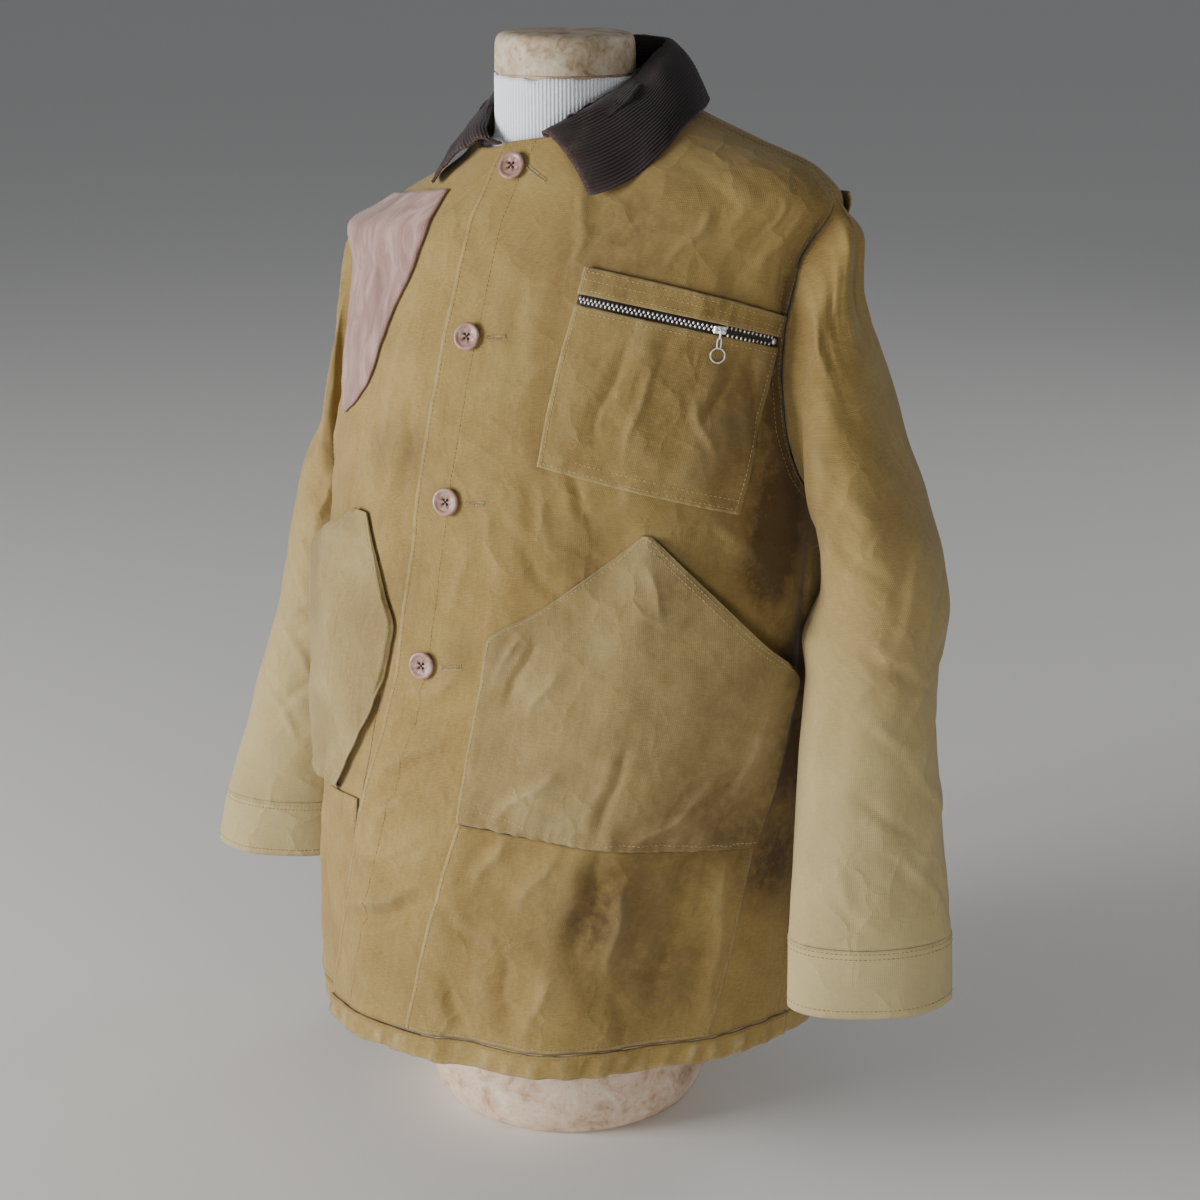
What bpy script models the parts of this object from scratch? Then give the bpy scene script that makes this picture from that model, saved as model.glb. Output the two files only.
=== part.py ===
"""Field coat of cotton duck, worn closed on a limbless dress form.

The coat is modelled piece by piece, as it is cut and sewn. Metres, +Z up. The wearer's front faces -Y
and the wearer's left side is +X. The origin is the centre of the form's flat foot.

The body of the coat is one smooth surface, given by rings at several heights. Every panel, pocket and
patch is a region of that surface (an angle round the body and a height), moved out along its normal.
"""

import math

import bmesh
import bpy
import numpy as np
from mathutils import Matrix, Vector

# ---------------------------------------------------------------- driving sizes
DUCK = 0.0015            # wall of the duck cloth
TURNED = 0.0026          # wall where an edge is turned in and sewn
SUEDE = 0.0013
CORDUROY = 0.0020
SEAM_GAP = 0.0003        # between pieces that are sewn together
LAY_GAP = 0.0011         # under a piece that lies on a panel, with room for its facets
LAP_RISE = 0.0036        # the lapping front lies this far above the other one
BODY_RADIUS = 0.22       # turns a distance round the body into an angle

HEM_BOTTOM = 0.099       # height of the coat's lower edge, before the coat's lean
HEM_BAND = 0.020
NECK_TOP = 0.850
NECK_DROP = 0.030        # the neckline is this much lower at the centre front
SIDE_SEAM = 99.0         # degrees from the centre front
SHOULDER_SEAM = 90.0
UNDERLAP = 12.0          # the under front reaches this far past the buttons, in degrees

BUTTON_DIAMETER = 0.0220
BUTTON_THICKNESS = 0.0034
BUTTON_HOLE_RADIUS = 0.0010
BUTTON_HOLE_OFFSET = 0.0024
BUTTON_HEIGHTS = (0.800, 0.678, 0.555, 0.428)

KNIT = 0.0018
CAP_BOTTOM = 0.8696
CAP_TOP = 0.9005
FOOT_FLAT_RADIUS = 0.104

# ---------------------------------------------------------------- tables
# Rings of the coat's body: half width to the wearer's left and right, reach to the front and the back,
# turn of the front about Z in degrees, and lift of the wearer's left side.
BODY_COLUMNS = ("height", "left", "right", "front", "back", "turn", "lift")
BODY_RINGS = (
    (0.070, 0.228, 0.216, 0.196, 0.178, -14.0, 0.018),
    (0.250, 0.233, 0.219, 0.191, 0.170, -8.0, 0.014),
    (0.430, 0.235, 0.222, 0.172, 0.158, -1.0, 0.010),
    (0.550, 0.227, 0.218, 0.150, 0.145, 1.0, 0.010),
    (0.660, 0.216, 0.208, 0.126, 0.128, 1.0, 0.012),
    (0.720, 0.224, 0.205, 0.106, 0.117, 1.5, 0.020),
    (0.760, 0.247, 0.216, 0.090, 0.106, 2.2, 0.027),
    (0.780, 0.226, 0.185, 0.080, 0.100, 2.7, 0.029),
    (0.802, 0.168, 0.138, 0.070, 0.094, 3.0, 0.026),
    (0.825, 0.117, 0.085, 0.060, 0.088, 3.0, 0.019),
    (0.850, 0.078, 0.071, 0.058, 0.082, 3.0, 0.010),
)

# Armhole edges of the fronts and of the back, in degrees from the centre front.
ARMHOLE_COLUMNS = ("height", "front", "back")
ARMHOLE = (
    (0.545, 99.0, 99.0),
    (0.556, 93.0, 107.0),
    (0.575, 87.5, 113.0),
    (0.610, 83.5, 117.0),
    (0.680, 83.0, 117.0),
    (0.730, 83.5, 112.0),
    (0.752, 86.0, 103.0),
    (0.766, 90.0, 90.0),
)

# The free edge of the lapping front, in degrees.
FREE_EDGE_COLUMNS = ("height", "angle")
FREE_EDGE = (
    (0.070, -22.0),
    (0.200, -15.5),
    (0.330, -10.5),
    (0.430, -8.0),
    (0.550, -9.0),
    (0.680, -7.6),
    (0.850, -9.5),
)

# The largest folds of the body: a soft ridge (or trough, where the depth is negative) from a start to
# an end, each an angle and a height, with its width in metres.
FOLD_COLUMNS = ("start_angle", "start_height", "end_angle", "end_height", "width", "depth")
FOLDS = (
    (42.0, 0.775, 26.0, 0.700, 0.030, 0.0050),
    (60.0, 0.760, 62.0, 0.700, 0.026, -0.0030),
    (34.0, 0.560, 36.0, 0.440, 0.034, -0.0045),
    (26.0, 0.300, 22.0, 0.090, 0.036, -0.0040),
    (44.0, 0.300, 42.0, 0.080, 0.038, 0.0060),
    (62.0, 0.300, 64.0, 0.080, 0.036, -0.0050),
    (-28.0, 0.300, -34.0, 0.080, 0.036, 0.0050),
    (-50.0, 0.330, -54.0, 0.080, 0.040, -0.0050),
    (106.0, 0.480, 108.0, 0.090, 0.040, 0.0060),
    (126.0, 0.480, 128.0, 0.080, 0.040, -0.0060),
    (148.0, 0.620, 150.0, 0.080, 0.042, 0.0070),
    (172.0, 0.660, 170.0, 0.080, 0.042, -0.0060),
    (-106.0, 0.480, -108.0, 0.090, 0.040, 0.0060),
    (-128.0, 0.500, -130.0, 0.080, 0.040, -0.0060),
    (-152.0, 0.640, -148.0, 0.080, 0.042, 0.0070),
)

# Sleeve sections, shoulder to cuff seam. The share is how much of the armhole's own shape is left. Each
# section is an oval with an outward and a forward half width; the tilt turns it from level (0) towards
# upright, and the turn swings its outward axis to the back. The right sleeve hangs lower.
SLEEVE_COLUMNS = ("share", "x", "y", "z", "tilt", "turn", "outward", "forward")
SLEEVE_SECTIONS = {
    "left": (
        (0.72, 0.2400, 0.018, 0.650, 83.0, 6.0, 0.0980, 0.052),
        (0.36, 0.2430, 0.018, 0.630, 82.0, 8.0, 0.0840, 0.055),
        (0.10, 0.2560, 0.022, 0.599, 76.0, 10.0, 0.0680, 0.062),
        (0.00, 0.2680, 0.023, 0.563, 62.0, 15.0, 0.0570, 0.066),
        (0.00, 0.2790, 0.020, 0.532, 44.0, 20.0, 0.0530, 0.067),
        (0.00, 0.2880, 0.011, 0.504, 27.0, 29.0, 0.0550, 0.064),
        (0.00, 0.2935, 0.002, 0.474, 12.0, 35.0, 0.0560, 0.059),
        (0.00, 0.2965, -0.006, 0.436, 4.0, 38.0, 0.0500, 0.050),
        (0.00, 0.3005, -0.014, 0.387, 2.0, 38.0, 0.0520, 0.045),
        (0.00, 0.3065, -0.020, 0.335, 2.0, 38.0, 0.0555, 0.041),
        (0.00, 0.3145, -0.029, 0.284, 2.0, 38.0, 0.0590, 0.036),
        (0.00, 0.3205, -0.035, 0.2400, 2.0, 38.0, 0.0625, 0.032),
    ),
    "right": (
        (0.72, 0.2290, 0.018, 0.618, 87.0, 0.0, 0.0840, 0.052),
        (0.36, 0.2330, 0.020, 0.594, 85.0, 0.0, 0.0680, 0.055),
        (0.10, 0.2400, 0.024, 0.565, 78.0, 0.0, 0.0530, 0.058),
        (0.00, 0.2480, 0.030, 0.534, 62.0, 0.0, 0.0420, 0.061),
        (0.00, 0.2630, 0.036, 0.504, 34.0, 0.0, 0.0420, 0.063),
        (0.00, 0.2780, 0.036, 0.460, 12.0, -8.0, 0.0470, 0.060),
        (0.00, 0.2900, 0.034, 0.415, 6.0, -14.0, 0.0480, 0.055),
        (0.00, 0.3000, 0.029, 0.370, 5.0, -20.0, 0.0480, 0.050),
        (0.00, 0.3130, 0.017, 0.303, 4.0, -26.0, 0.0510, 0.044),
        (0.00, 0.3180, 0.002, 0.240, 3.0, -30.0, 0.0560, 0.037),
        (0.00, 0.3220, -0.010, 0.1930, 2.0, -32.0, 0.0600, 0.033),
    ),
}
CUFF_LENGTH = 0.052
CUFF_DRIFT = (0.006, -0.008)     # how far the cuff's lower edge lies outward and back of its upper edge

# The collar on each side, from its front end (share 0) to the centre back (share 1): the neck seam's
# angle, the roll line and the leaf's outer edge.
COLLAR_COLUMNS = ("share", "seam", "roll_x", "roll_y", "roll_z", "edge_x", "edge_y", "edge_z")
COLLARS = {
    "left": (
        (0.00, 10.0, 0.0315, -0.0675, 0.8300, 0.0600, -0.0745, 0.8050),
        (0.07, 20.0, 0.0410, -0.0590, 0.8370, 0.0900, -0.0770, 0.7960),
        (0.16, 36.0, 0.0500, -0.0440, 0.8450, 0.1130, -0.0720, 0.7990),
        (0.38, 78.0, 0.0617, 0.0000, 0.8650, 0.1312, -0.0430, 0.8290),
        (0.55, 108.0, 0.0650, 0.0300, 0.8840, 0.1290, -0.0030, 0.8460),
        (0.72, 138.0, 0.0560, 0.0560, 0.8920, 0.1000, 0.0500, 0.8530),
        (1.00, 180.0, 0.0000, 0.0760, 0.8915, 0.0000, 0.1000, 0.8450),
    ),
    "right": (
        (0.00, 12.0, 0.0240, -0.0640, 0.8225, 0.0790, -0.0700, 0.7880),
        (0.07, 20.0, 0.0330, -0.0570, 0.8280, 0.0840, -0.0620, 0.7890),
        (0.16, 36.0, 0.0410, -0.0450, 0.8340, 0.0890, -0.0480, 0.7960),
        (0.38, 78.0, 0.0570, -0.0050, 0.8500, 0.0820, -0.0100, 0.8200),
        (0.55, 108.0, 0.0600, 0.0280, 0.8700, 0.0840, 0.0160, 0.8300),
        (0.72, 138.0, 0.0530, 0.0560, 0.8840, 0.0760, 0.0560, 0.8400),
        (1.00, 180.0, 0.0000, 0.0760, 0.8915, 0.0000, 0.1000, 0.8450),
    ),
}
LEAF_CROWN = 0.006
SEAM_RISE = 0.0026       # from the neckline up to the collar's own wall

# Recoil patch on the wearer's right front: its inner and outer edges, in degrees.
PATCH_COLUMNS = ("height", "inner", "outer")
PATCH = (
    (0.602, -46.0, -48.5),
    (0.616, -38.5, -52.0),
    (0.640, -32.0, -58.0),
    (0.700, -26.5, -67.0),
    (0.735, -22.5, -74.0),
    (0.760, -21.0, -78.0),
    (0.790, -24.0, -74.0),
)

# Chest pocket: corners as (angle, height), read clockwise from the upper left.
CHEST_TOP = ((23.0, 0.7290), (81.0, 0.6890))
CHEST_ZIP = ((23.2, 0.7105), (79.0, 0.6760))
CHEST_BOTTOM = ((19.8, 0.5880), (65.0, 0.5510))
ZIP_GAP = 0.0075         # the opening between the band and the bag
SLIDER_SHARE = 0.64      # how far along the zip the slider stands
TAPE = 0.0010
CHAIN_WIDTH = 0.0046
CHAIN_THICK = 0.0012
SLIDER = (0.0095, 0.0060, 0.0022)
BRIDGE_RISE = 0.0024     # the bridge bar's centre above the slider
PULL_LINK = 0.0078       # length of a link's centre line
PULL_LOOP = 0.0014       # half width of a link's centre line
PULL_RING = 0.0054       # radius of the ring's centre line
PULL_WIRE = 0.00055

# Lower pockets from the bottom edge to the peak: the edge towards the buttons and the edge towards the
# side, whose upper stretch is the slanted hand opening. The right pocket's lower inner corner is torn off.
POCKET_COLUMNS = ("share", "inner_angle", "inner_height", "outer_angle", "outer_height")
LOWER_POCKETS = {
    "left": (
        (0.00, 14.5, 0.3080, 78.5, 0.2830),
        (0.20, 14.0, 0.3450, 81.0, 0.3230),
        (0.42, 13.5, 0.3980, 82.5, 0.3720),
        (0.62, 13.5, 0.4520, 82.5, 0.4170),
        (0.75, 23.0, 0.4810, 70.5, 0.4550),
        (0.88, 33.0, 0.5110, 58.0, 0.4960),
        (1.00, 42.0, 0.5370, 45.5, 0.5370),
    ),
    "right": (
        (0.00, 24.0, 0.3020, 60.0, 0.2960),
        (0.12, 18.5, 0.3420, 68.0, 0.3140),
        (0.28, 13.0, 0.3840, 76.0, 0.3460),
        (0.45, 11.0, 0.4180, 80.0, 0.3820),
        (0.60, 10.2, 0.4480, 80.0, 0.4170),
        (0.75, 14.5, 0.4740, 68.0, 0.4550),
        (0.88, 20.0, 0.5050, 52.0, 0.4960),
        (1.00, 26.0, 0.5330, 30.0, 0.5340),
    ),
}
POCKET_DEPTH = 0.011     # the bellows hold the pocket's face this far off the front
MOUTH_GAPE = 0.006       # and the hand opening stands this much further off

# Panel sewn on each front below the pocket, as (share, left angle, right angle).
PANEL_COLUMNS = ("height", "inner", "outer")
LOWER_PANEL = (
    (0.128, 9.0, 76.0),
    (0.200, 11.5, 78.5),
    (0.300, 15.0, 80.0),
)

# Dress form: rings of the torso from its flat foot to the neck.
FORM_COLUMNS = ("height", "side", "front", "back")
FORM_RINGS = (
    (0.003, 0.1115, 0.1115, 0.1115),
    (0.012, 0.1175, 0.1175, 0.1175),
    (0.030, 0.1215, 0.1215, 0.1215),
    (0.070, 0.121, 0.121, 0.121),
    (0.120, 0.130, 0.124, 0.126),
    (0.220, 0.156, 0.132, 0.140),
    (0.320, 0.162, 0.128, 0.136),
    (0.430, 0.148, 0.118, 0.118),
    (0.550, 0.160, 0.112, 0.108),
    (0.660, 0.178, 0.104, 0.104),
    (0.720, 0.184, 0.090, 0.100),
    (0.745, 0.184, 0.080, 0.096),
    (0.7685, 0.1715, 0.070, 0.090),
    (0.7890, 0.1435, 0.0600, 0.082),
    (0.8070, 0.0985, 0.0540, 0.069),
    (0.8180, 0.0600, 0.0530, 0.0560),
    (0.824, 0.0530, 0.0526, 0.0528),
    (0.8690, 0.0526, 0.0526, 0.0526),
)
FORM_LEAN = 0.135        # the shoulders tilt, the wearer's left one up
KNIT_BOTTOM = 0.8245

PLEAT_COLUMNS = ("height", "inner", "outer")
BACK_PLEAT = (
    (0.560, 131.0, 118.5),
    (0.640, 131.0, 119.5),
    (0.700, 130.0, 118.0),
    (0.742, 124.0, 110.5),
    (0.764, 116.0, 101.0),
)


# ---------------------------------------------------------------- small mathematics
def column(table, names, name):
    """One named column of a table as an array."""
    return np.array([row[names.index(name)] for row in table], float)


def follow(table, names, name, where, key=None):
    """Value of a named column at given places of the key column, on a smooth monotone curve."""
    x = column(table, names, key or names[0])
    y = column(table, names, name)
    step = np.diff(x)
    slope = np.diff(y) / step
    tangent = np.zeros_like(y)
    tangent[0], tangent[-1] = slope[0], slope[-1]
    for i in range(1, len(x) - 1):
        if slope[i - 1] * slope[i] > 0:
            near = 2 * step[i] + step[i - 1]
            far = step[i] + 2 * step[i - 1]
            tangent[i] = (near + far) / (near / slope[i - 1] + far / slope[i])
    q = np.clip(np.asarray(where, float), x[0], x[-1])
    k = np.clip(np.searchsorted(x, q) - 1, 0, len(x) - 2)
    t = (q - x[k]) / step[k]
    return (y[k] * (1 + 2 * t) * (1 - t) ** 2 + step[k] * tangent[k] * t * (1 - t) ** 2
            + y[k + 1] * t * t * (3 - 2 * t) + step[k] * tangent[k + 1] * t * t * (t - 1))


def smooth(value, low, high):
    """0 below low, 1 above high, with a soft step between."""
    t = np.clip((np.asarray(value, float) - low) / (high - low), 0.0, 1.0)
    return t * t * (3 - 2 * t)


def unit(vectors):
    """Vectors scaled to length 1."""
    return vectors / np.maximum(np.linalg.norm(vectors, axis=-1, keepdims=True), 1e-12)


# ---------------------------------------------------------------- the coat's body surface
def body_base(angle, height):
    """Point on the smooth body at an angle in degrees and a height."""
    angle, height = np.broadcast_arrays(np.asarray(angle, float), np.asarray(height, float))
    ring = {name: follow(BODY_RINGS, BODY_COLUMNS, name, height) for name in BODY_COLUMNS[1:]}
    around = np.radians(angle + ring["turn"])
    side = np.where(np.sin(around) >= 0, ring["left"], ring["right"])
    reach = np.where(np.cos(around) >= 0, ring["front"], ring["back"])
    return np.stack([side * np.sin(around), -reach * np.cos(around),
                     height + ring["lift"] * np.sin(around)], -1)


def fold_depth(angle, height):
    """How far the folds move the cloth in or out."""
    total = np.zeros(np.broadcast(angle, height).shape)
    for row in FOLDS:
        fold = dict(zip(FOLD_COLUMNS, row))
        metres = math.radians(1.0) * BODY_RADIUS
        turn = (np.asarray(angle) - fold["start_angle"] + 180.0) % 360.0 - 180.0
        u, v = turn * metres, height - fold["start_height"]
        run_u = (fold["end_angle"] - fold["start_angle"]) * metres
        run_v = fold["end_height"] - fold["start_height"]
        length = math.hypot(run_u, run_v)
        along = (u * run_u + v * run_v) / length ** 2
        across = (u * run_v - v * run_u) / length
        taper = smooth(along, -0.25, 0.25) * (1 - smooth(along, 0.85, 1.25))
        total = total + fold["depth"] * taper * np.exp(-(across / fold["width"]) ** 2)
    return total


def body_point(angle, height, out=0.0):
    """Point on the folded body, moved out along its normal."""
    angle, height, out = np.broadcast_arrays(np.asarray(angle, float), np.asarray(height, float), out)
    turn, rise = 0.4, 0.0015
    across = body_base(angle + turn, height) - body_base(angle - turn, height)
    up = body_base(angle, height + rise) - body_base(angle, height - rise)
    normal = unit(np.cross(across, up))
    away = out + fold_depth(angle, height)
    return body_base(angle, height) + normal * away[..., None]


def lap_rise(angle, height):
    """How far the lapping front stands off the under front: more below the last button."""
    flat = 1 - smooth(angle, UNDERLAP + 2.5, UNDERLAP + 10.0)
    loose = (1 - smooth(height, 0.30, 0.40)) * (1 - smooth(angle, -8.0, 6.0))
    return LAP_RISE * flat + 0.004 * loose


def neck_height(angle, height):
    """Height of a panel row, bent down to the neckline near the centre front."""
    drop = NECK_DROP * (1 - smooth(np.abs(angle), 18.0, 88.0))
    return height - drop * smooth(height, 0.74, NECK_TOP)


# ---------------------------------------------------------------- making solids
def remove_all():
    """Start from an empty scene."""
    for obj in list(bpy.data.objects):
        bpy.data.objects.remove(obj, do_unlink=True)


def new_collection(name):
    """A collection linked to the scene."""
    made = bpy.data.collections.new(name)
    bpy.context.scene.collection.children.link(made)
    return made


def new_material(name, colour, roughness, metallic=0.0):
    """A plain Principled material."""
    made = bpy.data.materials.new(name)
    made.use_nodes = True
    shader = made.node_tree.nodes["Principled BSDF"]
    shader.inputs["Base Color"].default_value = (*colour, 1.0)
    shader.inputs["Roughness"].default_value = roughness
    shader.inputs["Metallic"].default_value = metallic
    return made


def add_mesh(name, mesh, collection, material):
    """An object for a finished mesh."""
    mesh.materials.append(material)
    obj = bpy.data.objects.new(name, mesh)
    collection.objects.link(obj)
    return obj


def add_sheet(name, points, wall, collection, material, wrap=False):
    """Cloth through a grid of points (rows upward, columns towards the wearer's left), with its wall."""
    rows, cols = points.shape[:2]
    built = bmesh.new()
    grid = [[built.verts.new(points[r, c]) for c in range(cols)] for r in range(rows)]
    for r in range(rows - 1):
        for c in range(cols if wrap else cols - 1):
            d = (c + 1) % cols
            built.faces.new((grid[r][c], grid[r][d], grid[r + 1][d], grid[r + 1][c]))
    mesh = bpy.data.meshes.new(name)
    built.to_mesh(mesh)
    built.free()
    mesh.shade_smooth()
    obj = add_mesh(name, mesh, collection, material)
    shell = obj.modifiers.new("wall", "SOLIDIFY")
    shell.thickness = wall
    shell.offset = -1.0
    return obj


def add_turned(name, profile, steps, collection, material, place=None):
    """A turned piece: the profile is (radius, height) points, run down the outer side."""
    mesh = bpy.data.meshes.new(name)
    verts = [(radius, 0.0, height) for radius, height in profile]
    mesh.from_pydata(verts, [(i, i + 1) for i in range(len(verts) - 1)], [])
    obj = add_mesh(name, mesh, collection, material)
    screw = obj.modifiers.new("turn", "SCREW")
    screw.steps = steps
    screw.render_steps = steps
    screw.use_merge_vertices = True
    screw.merge_threshold = 0.00005
    if place is not None:
        obj.matrix_world = place
    return obj


def apply_modifiers(obj):
    """Turn an object's evaluated shape into its own plain mesh."""
    graph = bpy.context.evaluated_depsgraph_get()
    mesh = bpy.data.meshes.new_from_object(obj.evaluated_get(graph))
    obj.modifiers.clear()
    if obj.type == "MESH":
        obj.data = mesh
        return obj
    made = bpy.data.objects.new(obj.name + "_mesh", mesh)
    made.matrix_world = obj.matrix_world.copy()
    obj.users_collection[0].objects.link(made)
    bpy.data.objects.remove(obj)
    return made


def spread(start, end, count, edge=0.0):
    """Even shares from start to end; with an edge, one more close to each end."""
    shares = np.linspace(0.0, 1.0, count)
    if edge:
        shares = np.sort(np.concatenate([shares, [edge, 1.0 - edge]]))
    return start + (end - start) * shares


# ---------------------------------------------------------------- body panels
def panel_heights():
    """Heights of the panels' rows, closer at the armhole and the shoulder."""
    lower = np.linspace(HEM_BOTTOM + HEM_BAND + SEAM_GAP, 0.545, 12)
    armhole = (0.556, 0.575, 0.605, 0.640, 0.680, 0.715, 0.740, 0.756, 0.766)
    shoulder = (0.780, 0.800, 0.825, 0.838, NECK_TOP)
    return np.concatenate([lower, armhole, shoulder])


def outer_edge(heights, side):
    """Angle of a panel's outer edge: side seam, armhole, then shoulder seam."""
    armhole = follow(ARMHOLE, ARMHOLE_COLUMNS, side, heights)
    gap = math.degrees(SEAM_GAP / 2 / BODY_RADIUS)
    ease = np.where(heights > ARMHOLE[-1][0] - 0.004, 0.25, gap)
    seam = np.where(heights < ARMHOLE[0][0], SIDE_SEAM, armhole)
    return seam - ease if side == "front" else seam + ease


def panel_grid(inner, outer, heights, shares):
    """Angles and heights of a panel whose rows run from an inner to an outer angle."""
    angles = inner[:, None] + (outer - inner)[:, None] * shares[None, :]
    levels = neck_height(angles, heights[:, None])
    return angles, levels


def build_fronts(collection, duck):
    """The two fronts; the wearer's left one laps over the other."""
    heights = panel_heights()
    shares = spread(0.0, 1.0, 14, 0.012)
    outer = outer_edge(heights, "front")
    free = follow(FREE_EDGE, FREE_EDGE_COLUMNS, "angle", heights)
    angles, levels = panel_grid(free, outer, heights, shares)
    add_sheet("front_left", body_point(angles, levels, lap_rise(angles, levels)), DUCK, collection, duck)
    under = np.full_like(heights, UNDERLAP)
    angles, levels = panel_grid(-outer, under, heights, shares)
    add_sheet("front_right", body_point(angles, levels), DUCK, collection, duck)


def build_back(collection, duck):
    """The back, in one piece from neck to hem."""
    heights = panel_heights()
    outer = outer_edge(heights, "back")
    angles, levels = panel_grid(outer, 360.0 - outer, heights, spread(0.0, 1.0, 19, 0.010))
    add_sheet("back", body_point(angles, levels), DUCK, collection, duck)


def build_hems(collection, duck):
    """The turned hem band of each panel."""
    heights = np.linspace(HEM_BOTTOM, HEM_BOTTOM + HEM_BAND, 3)
    free = follow(FREE_EDGE, FREE_EDGE_COLUMNS, "angle", heights)
    seam = np.full_like(heights, SIDE_SEAM - 0.12)
    under = np.full_like(heights, UNDERLAP)
    stand = 0.0008
    for name, inner, outer, count, rise in (
            ("hem_left", free, seam, 15, lap_rise),
            ("hem_right", -seam, under, 15, None),
            ("hem_back", seam + 0.24, 360.0 - seam - 0.24, 19, None)):
        angles, levels = panel_grid(inner, outer, heights, spread(0.0, 1.0, count))
        out = stand + (rise(angles, levels) + 0.0014 if rise else 0.0)
        add_sheet(name, body_point(angles, levels, out), TURNED, collection, duck)


# ---------------------------------------------------------------- sleeves
def armhole_loop(sign, count):
    """The armhole seam as a loop: top, front, underarm, back; moved clear of the panels."""
    around = np.linspace(0.0, 2 * math.pi, count, endpoint=False)
    low, high = ARMHOLE[0][0], ARMHOLE[-1][0]
    heights = low + (high - low) * (1 + np.cos(around)) / 2
    front = follow(ARMHOLE, ARMHOLE_COLUMNS, "front", heights)
    back = follow(ARMHOLE, ARMHOLE_COLUMNS, "back", heights)
    angle = np.where(np.sin(around) >= 0, front, back)
    points = body_point(sign * angle, heights)
    centre = points.mean(axis=0)
    return points + unit(centre - points) * 0.0016


def sleeve_section(row, sign, around, loop):
    """One section of a sleeve, from its table row, as a closed loop of points."""
    cut = dict(zip(SLEEVE_COLUMNS, row))
    tilt, turn = math.radians(cut["tilt"]), math.radians(cut["turn"])
    outward = np.array([sign * math.cos(tilt) * math.cos(turn), math.cos(tilt) * math.sin(turn), math.sin(tilt)])
    forward = np.array([sign * math.sin(turn), -math.cos(turn), 0.0])
    centre = np.array([sign * cut["x"], cut["y"], cut["z"]])
    oval = (centre + cut["outward"] * np.cos(around)[:, None] * outward
            + cut["forward"] * np.sin(around)[:, None] * forward)
    carried = loop - loop.mean(axis=0) + centre
    return cut["share"] * carried + (1 - cut["share"]) * oval


def sleeve_rings(side, count):
    """All sections of a sleeve, from the armhole down to the cuff seam."""
    sign = 1.0 if side == "left" else -1.0
    around = np.linspace(0.0, 2 * math.pi, count, endpoint=False)
    loop = armhole_loop(sign, count)
    rings = [loop] + [sleeve_section(row, sign, around, loop) for row in SLEEVE_SECTIONS[side]]
    return sign, np.array(rings)


def add_tube(name, rings, sign, wall, collection, material):
    """A tube of cloth; its rings run downward and the loop order follows the side."""
    points = rings[::-1] if sign < 0 else rings[::-1, ::-1]
    return add_sheet(name, points, wall, collection, material, wrap=True)


def build_sleeves(collection, duck):
    """Both sleeves and their turned cuffs."""
    for side in ("left", "right"):
        sign, rings = sleeve_rings(side, 20)
        add_tube(f"sleeve_{side}", rings, sign, DUCK, collection, duck)
        last = rings[-1]
        centre = last.mean(axis=0)
        drift = np.array([sign * CUFF_DRIFT[0], CUFF_DRIFT[1], -CUFF_LENGTH])
        top = last - np.array([0.0, 0.0, SEAM_GAP])
        levels = [top + unit(top - centre) * 0.0006 + drift * share for share in (0.0, 0.5, 1.0)]
        add_tube(f"cuff_{side}", np.array(levels), sign, TURNED, collection, duck)


# ---------------------------------------------------------------- collar
def clear_of_body(points, gap):
    """Move points that would sink into the body outwards, level by level."""
    level = points[..., 2]
    side = np.where(points[..., 0] >= 0, 1.0, -1.0)
    for _ in range(3):
        lift = follow(BODY_RINGS, BODY_COLUMNS, "lift", level)
        width = np.where(side > 0, follow(BODY_RINGS, BODY_COLUMNS, "left", level),
                         follow(BODY_RINGS, BODY_COLUMNS, "right", level))
        share = np.clip(points[..., 0] / np.maximum(width, 1e-6), -1, 1)
        level = points[..., 2] - lift * share
    reach = np.where(points[..., 1] <= 0, follow(BODY_RINGS, BODY_COLUMNS, "front", level),
                     follow(BODY_RINGS, BODY_COLUMNS, "back", level))
    ratio = np.hypot(points[..., 0] / (width + gap), points[..., 1] / (reach + gap))
    scale = np.where((ratio < 1) & (level < NECK_TOP), 1 / np.maximum(ratio, 1e-6), 1.0)
    moved = points.copy()
    moved[..., :2] *= scale[..., None]
    return moved


def collar_profile(share, side):
    """Points from the neck seam up to the roll and down the leaf, at one share of the half collar."""
    sign = 1.0 if side == "left" else -1.0
    value = {name: float(follow(COLLARS[side], COLLAR_COLUMNS, name, share)) for name in COLLAR_COLUMNS[1:]}
    seam = body_point(sign * value["seam"], float(neck_height(value["seam"], NECK_TOP)))
    seam = seam + np.array([0.0, 0.0, SEAM_RISE])
    roll = np.array([sign * value["roll_x"], value["roll_y"], value["roll_z"]])
    edge = np.array([sign * value["edge_x"], value["edge_y"], value["edge_z"]])
    outward = unit(np.array([edge[0] - roll[0], edge[1] - roll[1], 0.0]))
    inner = [seam + (roll - seam) * t for t in (0.0, 0.5, 0.88)]
    bend = [roll + outward * 0.0008 + np.array([0, 0, 0.0012]), roll + outward * 0.0044 + np.array([0, 0, 0.0014])]
    leaf = []
    for t in (0.25, 0.5, 0.75, 1.0):
        crown = LEAF_CROWN * 4 * t * (1 - t)
        leaf.append(bend[-1] + (edge - bend[-1]) * t + np.array([0, 0, crown]) + outward * crown * 0.6)
    return np.array(inner + bend + leaf)


def build_collar(collection, corduroy):
    """The corduroy collar in one piece, from front end to front end round the neck."""
    shares = np.concatenate([(0.0, 0.05, 0.10, 0.18), np.linspace(0.28, 1.0, 8)])
    left = [collar_profile(share, "left") for share in shares]
    right = [collar_profile(share, "right") for share in shares[-2::-1]]
    points = np.array(left + right)
    points[:, 4:] = clear_of_body(points[:, 4:], CORDUROY + LAY_GAP * 2)
    rows = points.transpose(1, 0, 2)[::-1, :, :]
    add_sheet("collar", rows, CORDUROY, collection, corduroy)


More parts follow.
